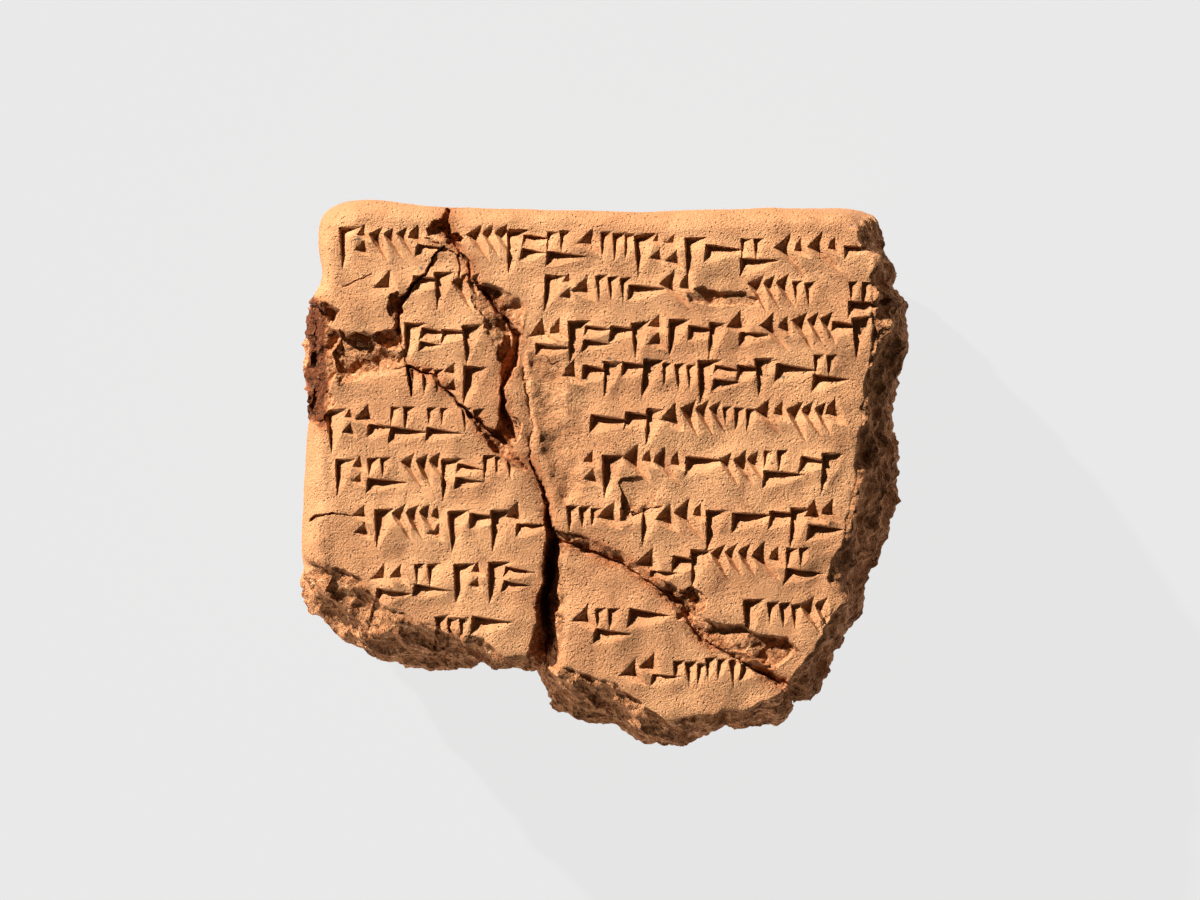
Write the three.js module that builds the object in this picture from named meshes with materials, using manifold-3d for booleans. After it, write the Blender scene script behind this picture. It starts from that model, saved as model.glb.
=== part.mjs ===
// A broken clay tablet, lying on its back with the written side up.
// It is one lump of clay: the upper and left edges are the maker's rounded ones, the right and lower
// sides are old breaks, and joins and losses cross the written face. Its writing stands here as rows
// of wedge-shaped strokes set out by a counting rule, so they spell nothing.
// Millimetres, +X to the right of the written face, +Y to its head, +Z up out of it. The origin is on
// the ground under the middle of the outline.
import * as THREE from "three";
import { mergeVertices } from "three/addons/utils/BufferGeometryUtils.js";
import Module from "manifold-3d";

const wasm = await Module();
wasm.setup();

// Driving sizes
const WIDTH = 61.3; // left to right over the breaks
const HEIGHT = 54.9; // head to foot over the breaks
const THICKNESS = 23; // ground to the crown of the written face
const FACE_FALL = 1.3; // how far the written face falls from its crown to its edges
const SHOULDER = 2.6; // radius where the face turns over the maker's edges
const ARRIS = 0.35; // the same at a break
const REVERSE_INSET = 2.6; // how far the reverse edge lies inside the girth
const REVERSE_RISE = 2.4; // height of the reverse edge above the ground
const REST_SHARE = 0.26; // the flat it rests on starts this far in from each side of the reverse
const BREAK_ROUGHNESS = 0.6; // how far in the dips between the lumps of a break go

// The inscription. A full stroke is a pit with three walls, measured from its deep point: to the
// tail's tip, back to the head's rim, and out to the rim on the tail's left and right. `at` is where
// the deep point lies from the head's corner.
const STROKE_DEPTH = 0.9;
const STROKE_SHAPES = {
  upright: { turn: -90, tail: 3.8, head: 0.45, left: 1.9, right: 0.22, at: [0.24, -0.46] },
  level: { turn: 0, tail: 3.9, head: 0.45, left: 0.24, right: 1.6, at: [0.45, -0.24] },
  raked: { turn: -62, tail: 3.2, head: 0.8, left: 1.3, right: 0.5, at: [0.6, -0.85] },
  slanted: { turn: -45, tail: 1.9, head: 1.0, left: 1.0, right: 1.0, at: [0.85, -1.0] },
};
const LEAST_STROKE = 0.8; // smaller strokes than this share of a full one are left to the skin
const LINE_PITCH = 4.8; // from one line of strokes to the next

// Losses
const CRACK_DEEPEN = 1; // scales the depth of every crack
const CUTTER_RISE = 1.2; // how far every cutter stands above the face

// The outline as it was measured, at the size given here. Each station is
// [face edge x, y, girth x, y, girth height]: the face edge bounds the written side, and the girth is
// the outermost skin at that place. The four sides run round anticlockwise seen from above.
const DRAWN = { width: 61.3, height: 54.9, thickness: 23, midX: -0.03, midY: 0.1 };
const HEAD_EDGE = [
  [24.8, 23.8, 27.6, 26.1, 12],
  [23.6, 24.1, 26.4, 26.7, 12],
  [15.5, 23.9, 16, 26.5, 12],
  [3.8, 23.5, 3.9, 26.1, 12],
  [-8.2, 23.8, -8.3, 26.4, 12],
  [-18.1, 24.1, -18.5, 26.7, 12],
  [-22.0, 24.8, -22.7, 27.5, 12],
  [-24.3, 24.7, -26, 27.5, 12],
  [-26.1, 23.9, -28.8, 26.5, 12],
];
const LEFT_EDGE = [
  [-26.1, 23.9, -28.8, 26.5, 12],
  [-26.4, 22.2, -28.9, 22.9, 12],
  [-25.9, 19.5, -28.0, 19.5, 12],
  [-26.9, 17.3, -29.3, 17.3, 10],
  [-27.2, 15.4, -30.1, 15.6, 7],
  [-27.0, 9.0, -30.3, 8.4, 7],
  [-27.4, 7.0, -30.1, 6.9, 8],
  [-27.3, 6.0, -29.5, 6.1, 13],
  [-27.4, 2.0, -30.0, 2.0, 12],
  [-27.7, -4.0, -30.4, -4.0, 12],
  [-28.2, -8.8, -30.5, -10.6, 11],
];
const FOOT_BREAK = [
  [-28.2, -8.8, -30.5, -10.6, 11],
  [-27.0, -9.5, -29.5, -13.6, 15],
  [-24.3, -10.7, -26.4, -16.1, 16],
  [-21.4, -13.8, -22.6, -19.0, 16],
  [-16.6, -15.3, -17.0, -19.9, 16],
  [-12.4, -16.4, -13.3, -19.3, 16],
  [-9.8, -18.5, -9.3, -19.5, 10],
  [-6.4, -18.5, -6.2, -20.4, 10],
  [-5.4, -18.7, -5.5, -21.9, 14],
  [-4.5, -19.3, -4.9, -23.5, 16],
  [-1.3, -20.3, -1.9, -25.3, 16.5],
  [0.9, -21.0, 0.4, -25.3, 16.5],
  [4.2, -23.4, 4.3, -27.2, 16.5],
  [6.5, -25.0, 6.4, -27.5, 16],
  [8.4, -24.8, 8.6, -26.9, 14],
  [12.4, -24.1, 12.6, -25.4, 16],
  [15.0, -23.7, 15.3, -26.0, 14],
  [17.2, -22.6, 18.5, -25.6, 12],
  [17.8, -22.0, 19.0, -23.0, 9],
  [18.4, -21.2, 22.4, -22.7, 8],
];
const RIGHT_BREAK = [
  [18.4, -21.2, 22.4, -22.7, 8],
  [21.4, -17.2, 23.7, -18.1, 9],
  [23.7, -12.9, 26.3, -13.9, 10],
  [22.4, -11.0, 26.1, -11.6, 10],
  [23.1, -8.8, 27.4, -9.4, 10],
  [24.2, -5.9, 29.2, -6.4, 13],
  [24.8, -1.7, 29.8, -1.2, 14],
  [25.5, 2.4, 29.7, 2.4, 15],
  [25.8, 6.6, 29.1, 7.1, 17],
  [26.1, 8.2, 29.5, 8.7, 18],
  [26.9, 12.2, 30.6, 12.7, 19],
  [26.9, 15.8, 30.4, 16.7, 19],
  [26.6, 17.6, 29.1, 18.1, 17.5],
  [26.7, 19.0, 29.3, 20.4, 14],
  [26.9, 20.8, 28.1, 21.9, 12],
  [24.8, 23.8, 27.6, 26.1, 12],
];

// Cracks and open joins: [x, y, reach to the left of the way along, reach to the right, depth].
const CRACKS = {
  headNotch: [
    [-15.7, 26.2, 0.25, 0.25, 0.8],
    [-15.9, 24.8, 0.35, 0.3, 1.2],
    [-15.5, 23.4, 0.5, 0.4, 1.2],
    [-14.2, 21.8, 0.12, 0.12, 0.6],
    [-13.3, 20.9, 0.15, 0.15, 0.6],
  ],
  mainJoin: [
    [-13.3, 20.9, 0.15, 0.15, 0.6],
    [-13.4, 19.2, 0.2, 0.2, 0.8],
    [-12.5, 18.4, 0.25, 0.25, 1.2],
    [-11.3, 17, 0.35, 0.35, 1.8],
    [-9.8, 15.4, 0.3, 0.3, 1.6],
    [-8.3, 13.6, 0.3, 0.6, 1.2],
    [-8.2, 12, 0.25, 1.6, 1.4],
    [-8.5, 10.6, 0.3, 1.9, 1.4],
    [-9.3, 9.6, 0.5, 1, 1.5],
    [-10, 8.4, 0.35, 0.3, 2],
    [-9.9, 6, 0.5, 0.5, 2],
    [-9.4, 4.2, 0.9, 1.2, 1.8],
    [-8.8, 3.2, 0.6, 0.8, 1.6],
  ],
  lowerJoin: [
    [-7, 0.8, 0.12, 0.15, 0.5],
    [-6.2, -1.2, 0.15, 0.25, 0.8],
    [-5.5, -3, 0.15, 0.3, 1],
    [-5.1, -4.8, 0.25, 0.5, 1.6],
    [-4.7, -6.9, 0.7, 0.6, 3],
    [-5.3, -9, 0.4, 0.5, 5],
    [-5.6, -12.8, 0.35, 0.6, 6],
    [-5.6, -16, 0.35, 0.9, 7],
    [-5.6, -19.8, 0.35, 1.6, 8],
  ],
  footJoin: [
    [-4.6, -6.5, 0.6, 0.7, 1.4],
    [-3, -7.3, 1, 0.7, 0.9],
    [-1, -8, 1, 0.6, 0.7],
    [0.8, -8.9, 0.8, 0.5, 0.7],
    [4.6, -10.8, 0.7, 0.5, 0.7],
    [6.8, -12.2, 0.7, 0.7, 1],
    [8.4, -14.2, 0.9, 0.8, 1.7],
    [10.2, -17, 0.9, 0.4, 0.8],
    [13.6, -18.9, 0.8, 0.3, 0.6],
    [17.9, -21.3, 0.8, 0.4, 0.7],
  ],
  flakeEdge: [
    [-15.9, 22.4, 0.15, 0.15, 0.6],
    [-17.1, 21.3, 0.12, 0.12, 0.5],
    [-17.4, 19.6, 0.15, 0.2, 0.6],
    [-18.3, 19, 0.25, 0.25, 0.8],
    [-19.4, 17.9, 0.3, 0.25, 0.9],
    [-20.3, 16.7, 0.6, 0.6, 1.8],
    [-20.1, 15.4, 0.3, 0.25, 1],
    [-20.6, 13.8, 0.5, 0.4, 1.6],
  ],
  crossCrack: [
    [-19.4, 10.4, 0.25, 0.15, 0.8],
    [-16.6, 9.2, 0.15, 0.15, 0.5],
    [-14.8, 7.2, 0.15, 0.15, 0.6],
    [-13.2, 5.6, 0.25, 0.25, 0.9],
    [-11.8, 4.4, 0.35, 0.6, 1.2],
    [-10, 3.2, 0.3, 1, 1.3],
    [-8.6, 1.4, 0.3, 0.9, 1],
    [-7.6, 0.2, 0.2, 0.4, 0.8],
  ],
  leftCrack: [
    [-29.2, -5.2, 0.2, 0.2, 0.5],
    [-28.6, -4.8, 0.2, 0.2, 0.7],
    [-26.8, -4.3, 0.12, 0.12, 0.6],
    [-25.1, -4.4, 0.08, 0.08, 0.4],
  ],
};

// Hollows where clay has gone: [x, y, long half-width, short half-width, turn in degrees, depth].
const HOLLOWS = {
  underFlake: [-23.2, 12.8, 3, 1.25, -4, 1.2],
  belowFlake: [-23.6, 11.4, 3.8, 2.3, -12, 0.7],
  notchLeft: [-16.4, 24.1, 1, 0.8, 80, 0.9],
  notchRight: [-14.7, 22.9, 0.9, 0.6, 0, 0.9],
  bowl: [-9.4, 12.2, 1.1, 1.9, 8, 1.2],
  joinPocket: [-9.6, 4.2, 1.5, 1, 20, 1.2],
  footSpall: [13, -16.6, 5.2, 1.7, -22, 0.9],
  footPocket: [8.1, -14.2, 0.9, 1.2, 0, 1.3],
  lineSevenPit: [3.2, -2.2, 1.9, 1.4, 15, 0.6],
};

// Lines of strokes: [head line at the left edge and at the right edge, spans that are still whole].
const LINES = [
  [0.1, -1.5, [[-26.4, -17.2], [-13.4, 26.0]]],
  [0.1, -0.6, [[-22.6, -19.9], [-19.0, -12.6], [-5.8, 9.0], [14.6, 20.8], [24.4, 26.6]]],
  [-0.4, 0.7, [[-19.8, -11.4], [-7.0, 26.4]]],
  [0.3, 1.6, [[-19.4, -10.8], [-4.0, 24.8]]],
  [0.9, 1.6, [[-27.8, -12.2], [-1.4, 25.2]]],
  [0.7, 1.7, [[-27.0, -8.8], [-2.0, 24.6]]],
  [0.6, 0.9, [[-24.8, -6.6], [-3.6, 23.8]]],
  [-0.6, 2.0, [[-22.8, -7.4], [3.8, 22.2]]],
  [-0.7, 1.5, [[-17.0, -10.6], [-2.8, 6.0], [13.8, 21.8]]],
  [-0.7, 0.3, [[2.0, 15.4]]],
];
const FIRST_LINE = 24.3; // height of the first line's heads at the left edge
const LINE_LEFT = -28;
const LINE_RIGHT = 27;

const stretchX = WIDTH / DRAWN.width;
const stretchY = HEIGHT / DRAWN.height;
const stretchZ = THICKNESS / DRAWN.thickness;
const placeX = (x) => (x - DRAWN.midX) * stretchX;
const placeY = (y) => (y - DRAWN.midY) * stretchY;
const mix = (a, b, t) => a + (b - a) * t;

// Height of the written face before any stroke: a shallow pillow.
const FALL_ACROSS = 0.45; // share of the fall that goes to the left and right edges

function faceHeight(x, y) {
  const across = x / (WIDTH / 2);
  const along = y / (HEIGHT / 2);
  return THICKNESS - FACE_FALL * mix(along ** 4, across ** 2, FALL_ACROSS);
}

// Dips of a break, from 0 on the lumps to 1 between them, as three crossing ripples.
const COARSE_RIPPLE = (2 * Math.PI) / 7; // turns in 7 mm
const FINE_RIPPLE = (2 * Math.PI) / 3.7;
const FINE_SHARE = 0.35;

function dips(x, y, z) {
  const coarse = Math.sin(COARSE_RIPPLE * (x + z)) * Math.cos(COARSE_RIPPLE * (y - z));
  const fine = Math.sin(FINE_RIPPLE * (x - y + z));
  return (1 - mix(coarse, fine, FINE_SHARE)) / 2;
}

// A side's columns: even shares of its length, each drawn to the measured station nearest to it.
const SNAP_SHARE = 0.45; // of a column's spacing

function sideColumns(stations, columns) {
  const placed = stations.map(([fx, fy, gx, gy, gz]) => [
    placeX(fx), placeY(fy), placeX(gx), placeY(gy), gz * stretchZ,
  ]);
  const run = [0];
  for (let i = 1; i < placed.length; i++) {
    const [a, b] = [placed[i - 1], placed[i]];
    const faceStep = Math.hypot(b[0] - a[0], b[1] - a[1]);
    const girthStep = Math.hypot(b[2] - a[2], b[3] - a[3]);
    run.push(run[i - 1] + (faceStep + girthStep) / 2);
  }
  const spacing = run[run.length - 1] / columns;
  return Array.from({ length: columns }, (_, column) => {
    const even = column * spacing;
    const near = run.reduce((best, r) => (Math.abs(r - even) < Math.abs(best - even) ? r : best));
    const at = Math.abs(near - even) < SNAP_SHARE * spacing ? near : even;
    let i = 1;
    while (i < run.length - 1 && run[i] < at) i++;
    const t = (at - run[i - 1]) / (run[i] - run[i - 1]);
    return placed[i].map((value, k) => mix(placed[i - 1][k], value, t));
  });
}

// The flank's profile at one station, from the face edge over the shoulder, out to the girth and
// in again to the reverse edge.
const SHOULDER_TURN = THREE.MathUtils.degToRad(70);
const WIDEST_SHOULDER = 0.95; // of the way from the face edge out to the girth
const SHOULDER_STEPS = 2;
const WALL_STEPS = 3;
const UNDER_STEPS = 3;

function flankProfile([fx, fy, gx, gy, gz], rounded, [rx, ry]) {
  const reach = Math.hypot(gx - fx, gy - fy);
  const outX = (gx - fx) / reach;
  const outY = (gy - fy) / reach;
  const top = faceHeight(fx, fy);
  const radius = Math.min(mix(ARRIS, SHOULDER, rounded), WIDEST_SHOULDER * reach);
  const rough = (1 - rounded) * BREAK_ROUGHNESS;
  const points = [];
  const put = (x, y, z, share) => {
    const dip = rough * share * dips(x, y, z);
    points.push([x - dip * outX, y - dip * outY, z]);
  };
  for (let i = 0; i <= SHOULDER_STEPS; i++) {
    const turn = (SHOULDER_TURN * i) / SHOULDER_STEPS;
    const out = radius * Math.sin(turn);
    put(fx + out * outX, fy + out * outY, top - radius * (1 - Math.cos(turn)), 0);
  }
  const wallOut = radius * Math.sin(SHOULDER_TURN);
  const wallTop = top - radius * (1 - Math.cos(SHOULDER_TURN));
  for (let i = 1; i <= WALL_STEPS; i++) {
    const down = i / WALL_STEPS;
    const out = mix(wallOut, reach, 1 - (1 - down) ** 2);
    put(fx + out * outX, fy + out * outY, mix(wallTop, gz, down), 1);
  }
  for (let i = 1; i <= UNDER_STEPS; i++) {
    const turn = (Math.PI / 2) * (i / UNDER_STEPS);
    const inward = 1 - Math.cos(turn);
    put(mix(gx, rx, inward), mix(gy, ry, inward), mix(gz, REVERSE_RISE, Math.sin(turn)), 1 - inward);
  }
  return points;
}

// Columns of the flank all the way round, anticlockwise from the head edge's right end.
const ACROSS = 26; // columns along the head and foot
const ALONG = 21; // columns along the left and right
const SIDES = [
  { stations: HEAD_EDGE, columns: ACROSS, rounded: 1 },
  { stations: LEFT_EDGE, columns: ALONG, rounded: 0.9 },
  { stations: FOOT_BREAK, columns: ACROSS, rounded: 0 },
  { stations: RIGHT_BREAK, columns: ALONG, rounded: 0 },
];
const EASE = 2; // columns each way over which the girth and the rounding are averaged

function flankColumns() {
  const columns = SIDES.flatMap(({ stations, columns: count, rounded }) =>
    sideColumns(stations, count).map((at) => ({ at, rounded })),
  );
  const around = (i, value) => {
    let sum = 0;
    for (let k = -EASE; k <= EASE; k++) sum += value(columns[(i + k + columns.length) % columns.length]);
    return sum / (2 * EASE + 1);
  };
  const eased = columns.map((column, i) => ({
    x: around(i, ({ at }) => at[2]),
    y: around(i, ({ at }) => at[3]),
    rounded: around(i, ({ rounded }) => rounded),
  }));
  return columns.map(({ at }, i) => {
    const before = eased[(i - EASE + eased.length) % eased.length];
    const after = eased[(i + EASE) % eased.length];
    const dx = after.x - before.x;
    const dy = after.y - before.y;
    const inset = REVERSE_INSET / Math.hypot(dx, dy);
    const reverse = [eased[i].x - dy * inset, eased[i].y + dx * inset];
    return flankProfile(at, eased[i].rounded, reverse);
  });
}

// A grid that fills the loop of rim points, by blending its opposite sides.
function fillLoop(rim) {
  const head = rim.slice(0, ACROSS + 1);
  const left = rim.slice(ACROSS, ACROSS + ALONG + 1);
  const foot = rim.slice(ACROSS + ALONG, 2 * ACROSS + ALONG + 1);
  const right = [...rim.slice(2 * ACROSS + ALONG), rim[0]];
  const blend = (k, i, j) => {
    const u = i / ACROSS;
    const v = j / ALONG;
    const across = mix(head[i][k], foot[ACROSS - i][k], v);
    const along = mix(right[ALONG - j][k], left[j][k], u);
    const corners = mix(mix(head[0][k], head[ACROSS][k], u), mix(foot[ACROSS][k], foot[0][k], u), v);
    return across + along - corners;
  };
  return { blend, onRim: (i, j) => i === 0 || j === 0 || i === ACROSS || j === ALONG };
}

// Reverse height: the reverse edge's own height, sinking to the flat it rests on.
function reverseHeight(edge, i, j) {
  const inShare = Math.min(i, ACROSS - i) / ACROSS;
  const upShare = Math.min(j, ALONG - j) / ALONG;
  const t = Math.min(1, Math.min(inShare, upShare) / REST_SHARE);
  return edge * (1 - t) ** 2;
}

// The whole lump before the strokes and losses: two filled caps and the flank between them.
function tabletBody() {
  const columns = flankColumns();
  const rows = columns[0].length;
  const vertices = columns.flat();
  const faces = [];
  const index = (column, row) => (column % columns.length) * rows + row;
  for (let c = 0; c < columns.length; c++) {
    for (let r = 0; r < rows - 1; r++) {
      const [a, b, d, e] = [index(c, r), index(c, r + 1), index(c + 1, r), index(c + 1, r + 1)];
      faces.push([a, b, d], [d, b, e]);
    }
  }
  const cap = (row, height, turned) => {
    const fill = fillLoop(columns.map((column) => column[row]));
    const rimIndex = (i, j) => {
      if (j === 0) return index(i, row);
      if (i === ACROSS) return index(ACROSS + j, row);
      if (j === ALONG) return index(2 * ACROSS + ALONG - i, row);
      return index(2 * ACROSS + 2 * ALONG - j, row);
    };
    const grid = [];
    for (let j = 0; j <= ALONG; j++) {
      for (let i = 0; i <= ACROSS; i++) {
        if (fill.onRim(i, j)) {
          grid.push(rimIndex(i, j));
          continue;
        }
        const x = fill.blend(0, i, j);
        const y = fill.blend(1, i, j);
        grid.push(vertices.length);
        vertices.push([x, y, height(x, y, fill.blend(2, i, j), i, j)]);
      }
    }
    const at = (i, j) => grid[j * (ACROSS + 1) + i];
    for (let j = 0; j < ALONG; j++) {
      for (let i = 0; i < ACROSS; i++) {
        const corners = [at(i, j), at(i + 1, j), at(i + 1, j + 1), at(i, j + 1)];
        const [a, b, c, d] = turned ? corners.reverse() : corners;
        faces.push([a, b, c], [a, c, d]);
      }
    }
  };
  cap(0, (x, y) => faceHeight(x, y), false);
  cap(rows - 1, (x, y, edge, i, j) => reverseHeight(edge, i, j), true);
  return solidFrom(vertices, faces);
}

// A closed list of points and triangles as a solid.
function solidFrom(vertices, faces) {
  const mesh = new wasm.Mesh({
    numProp: 3,
    vertProperties: new Float32Array(vertices.flat()),
    triVerts: new Uint32Array(faces.flat()),
  });
  return new wasm.Manifold(mesh);
}

// A crack's cutter: a trough of triangular section carried along its points.
function crackCutter(points) {
  const placed = points.map(([x, y, ...rest]) => [placeX(x), placeY(y), ...rest]);
  const vertices = [];
  const faces = [];
  placed.forEach(([x, y, left, right, deep], i) => {
    const before = placed[Math.max(0, i - 1)];
    const after = placed[Math.min(placed.length - 1, i + 1)];
    const dx = after[0] - before[0];
    const dy = after[1] - before[1];
    const length = Math.hypot(dx, dy);
    const leftX = -dy / length;
    const leftY = dx / length;
    const depth = deep * CRACK_DEEPEN;
    const spread = (depth + CUTTER_RISE) / depth;
    const face = faceHeight(x, y);
    vertices.push([x + left * spread * leftX, y + left * spread * leftY, face + CUTTER_RISE]);
    vertices.push([x, y, face - depth]);
    vertices.push([x - right * spread * leftX, y - right * spread * leftY, face + CUTTER_RISE]);
  });
  for (let i = 0; i + 1 < placed.length; i++) {
    for (let k = 0; k < 3; k++) {
      const [a, b] = [3 * i + k, 3 * i + ((k + 1) % 3)];
      faces.push([a, b, a + 3], [b, b + 3, a + 3]);
    }
  }
  const last = 3 * (placed.length - 1);
  faces.push([0, 2, 1], [last, last + 1, last + 2]);
  const made = solidFrom(vertices, faces);
  return made.volume() < 0 ? solidFrom(vertices, faces.map(([a, b, c]) => [a, c, b])) : made;
}

// A hollow's cutter: an uneven bowl of two rings over a deep point.
const HOLLOW_SIDES = 9;
const HOLLOW_TOP = 1.25; // the rings' widths, as shares of the hollow's own
const HOLLOW_RIM = 0.98;
const HOLLOW_FLOOR = 0.62;
const FLOOR_DEPTH = 0.8; // the lower ring's depth, as a share of the deep point's

function hollowCutter([drawnX, drawnY, long, short, degrees, depth]) {
  const [x, y] = [placeX(drawnX), placeY(drawnY)];
  const turn = THREE.MathUtils.degToRad(degrees);
  const face = faceHeight(x, y);
  const vertices = [[x, y, face + CUTTER_RISE], [x, y, face - depth]];
  const rings = [[HOLLOW_TOP, CUTTER_RISE], [HOLLOW_RIM, 0], [HOLLOW_FLOOR, -FLOOR_DEPTH * depth]];
  for (const [share, z] of rings) {
    for (let i = 0; i < HOLLOW_SIDES; i++) {
      const angle = (2 * Math.PI * i) / HOLLOW_SIDES;
      const uneven = 1 + 0.14 * Math.sin(3 * angle + drawnX) + 0.08 * Math.cos(5 * angle + drawnY);
      const a = long * share * uneven * Math.cos(angle);
      const b = short * share * uneven * Math.sin(angle);
      const px = x + a * Math.cos(turn) - b * Math.sin(turn);
      const py = y + a * Math.sin(turn) + b * Math.cos(turn);
      vertices.push([px, py, face + z]);
    }
  }
  const faces = [];
  const ring = (level, i) => 2 + level * HOLLOW_SIDES + (i % HOLLOW_SIDES);
  for (let i = 0; i < HOLLOW_SIDES; i++) {
    faces.push([0, ring(0, i), ring(0, i + 1)], [1, ring(2, i + 1), ring(2, i)]);
    for (let level = 0; level < 2; level++) {
      const [a, b] = [ring(level, i), ring(level, i + 1)];
      const [c, d] = [ring(level + 1, i), ring(level + 1, i + 1)];
      faces.push([a, c, b], [b, c, d]);
    }
  }
  return solidFrom(vertices, faces);
}

// A counting rule for everything that varies from stroke to stroke, so it is the same each time.
const COUNT_MODULUS = 2147483647;
const COUNT_FACTOR = 16807;

function counter(seed) {
  let state = seed;
  return () => {
    state = (state * COUNT_FACTOR) % COUNT_MODULUS;
    return state / COUNT_MODULUS;
  };
}

// Groups of strokes: [how much of the line it takes, [shape, x, y, size, lean] of each stroke].
const GROUPS = [
  [2.6, [["upright", 0, 0, 1.06, 0]]],
  [4.2, [["level", 0, -0.3, 1, -4], ["upright", 2.1, 0.1, 1.02, 0]]],
  [3.4, [["upright", 0, 0, 1.06, 0], ["slanted", 1.9, -0.1, 0.6, 0], ["slanted", 1.9, -1.6, 0.6, 0]]],
  [3.9, [["upright", 0.1, 0.1, 0.6, 0], ["upright", 1.4, 0.1, 0.6, 0], ["level", 0, -1.9, 1, -3]]],
  [1.9, [["slanted", 0, 0, 1.0, 0]]],
  [3.6, [["upright", 0, 0, 0.66, 3], ["upright", 1.2, -0.1, 0.66, 3], ["upright", 2.4, -0.2, 0.66, 3]]],
  [3.9, [["level", 0, -0.6, 1, -3], ["upright", 1.8, 0.1, 1.06, 0], ["upright", 2.9, 0, 0.6, 0]]],
  [3.9, [["slanted", 0, 0.1, 0.7, 0], ["slanted", 0.1, -1.6, 0.7, 0], ["upright", 1.7, 0, 1.05, 0]]],
  [3.8, [["level", 0, -0.5, 1.1, -4]]],
  [3.3, [["slanted", 0, 0.1, 0.95, 0], ["level", 0.8, -1.5, 0.85, -5]]],
  [3.8, [["slanted", 0, 0, 0.9, 4], ["slanted", 1.7, 0.05, 0.9, 4], ["level", 0.1, -2.0, 1, -6]]],
  [4.1, [["upright", 0, 0.1, 1.1, 0], ["level", 1.6, -0.4, 0.85, -10], ["level", 1.5, -1.8, 0.75, -6]]],
  [4.2, [["raked", 0, 0, 0.95, 0], ["raked", 1.35, 0.05, 0.9, 0], ["raked", 2.7, 0.1, 0.85, 0]]],
  [3.2, [["raked", 0, 0.1, 1.1, 12], ["slanted", 1.7, 0, 0.8, 0]]],
];
const SIZE_SPREAD = 0.07;
const LEAN_SPREAD = 5;
const RISE_SPREAD = 0.3;
const LEAST_ROOM = 1.4; // a line ends when less than this is left
const START_SPREAD = 0.3;
const CLOSEST = 0.88; // how close groups follow each other, as a share of their usual room
const CLOSENESS_SPREAD = 0.16;
const COUNT_FROM = 20117;

// Every stroke, group after group along each line, as its deep point, turn, size and shape.
function allStrokes() {
  const next = counter(COUNT_FROM);
  const vary = (spread) => spread * (2 * next() - 1);
  const strokes = [];
  LINES.forEach(([leftRise, rightRise, spans], row) => {
    const base = FIRST_LINE - row * LINE_PITCH;
    for (const [from, to] of spans) {
      let x = from + START_SPREAD * next();
      while (x < to - LEAST_ROOM) {
        const [width, members] = GROUPS[Math.floor(next() * GROUPS.length)];
        const share = (x - LINE_LEFT) / (LINE_RIGHT - LINE_LEFT);
        const y = base + mix(leftRise, rightRise, share) + vary(RISE_SPREAD);
        for (const [kind, dx, dy, usual, lean] of members) {
          const shape = STROKE_SHAPES[kind];
          const size = usual + vary(SIZE_SPREAD);
          const turn = THREE.MathUtils.degToRad(shape.turn + lean + vary(LEAN_SPREAD));
          const deepX = x + dx + shape.at[0] * size;
          const deepY = y + dy + shape.at[1] * size;
          if (deepX < to) strokes.push({ x: deepX, y: deepY, turn, size, shape });
        }
        x += width * (CLOSEST + CLOSENESS_SPREAD * next());
      }
    }
  });
  return strokes;
}

// A stroke's cutter: a four-cornered wedge, point down, whose three walls meet the face in a triangle.
function strokeCutter({ x: drawnX, y: drawnY, turn, size, shape }) {
  const [x, y] = [placeX(drawnX), placeY(drawnY)];
  const depth = STROKE_DEPTH * size;
  const spread = (depth + CUTTER_RISE) / depth;
  const face = faceHeight(x, y);
  const widen = 1 + shape.head / shape.tail; // the sides go on widening from the deep point to the head
  const corner = (along, aside) => [
    x + spread * size * (along * Math.cos(turn) - aside * Math.sin(turn)),
    y + spread * size * (along * Math.sin(turn) + aside * Math.cos(turn)),
    face + CUTTER_RISE,
  ];
  const vertices = [
    [x, y, face - depth],
    corner(shape.tail, 0),
    corner(-shape.head, shape.left * widen),
    corner(-shape.head, -shape.right * widen),
  ];
  return solidFrom(vertices, [[1, 2, 3], [0, 2, 1], [0, 3, 2], [0, 1, 3]]);
}

// The finished lump, back as a three.js geometry.
function tabletGeometry() {
  const cutters = [
    ...Object.values(CRACKS).map(crackCutter),
    ...Object.values(HOLLOWS).map(hollowCutter),
    ...allStrokes().filter(({ size }) => size >= LEAST_STROKE).map(strokeCutter),
  ];
  const cut = tabletBody().subtract(wasm.Manifold.union(cutters));
  const [kept] = cut.decompose().sort((a, b) => b.volume() - a.volume());
  const mesh = kept.getMesh();
  const geometry = new THREE.BufferGeometry();
  geometry.setAttribute("position", new THREE.BufferAttribute(new Float32Array(mesh.vertProperties), 3));
  geometry.setIndex(new THREE.BufferAttribute(new Uint32Array(mesh.triVerts), 1));
  return mergeVertices(geometry);
}

const clay = new THREE.MeshStandardMaterial({ color: 0xcf9467, roughness: 0.92, metalness: 0 });

const tablet = new THREE.Mesh(tabletGeometry(), clay);
tablet.name = "tablet";

const group = new THREE.Group();
group.add(tablet);

export default group;
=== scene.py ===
"""A broken clay tablet on a pale floor, seen straight down on its written face.

One piece is made here, the tablet's skin, in place of the plain solid. It is one closed surface: the
written face and the reverse are four-sided patches, and the flank is a band of profiles between
them. Millimetres are used throughout, and turned to metres when the mesh is made.
"""

import math

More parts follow.
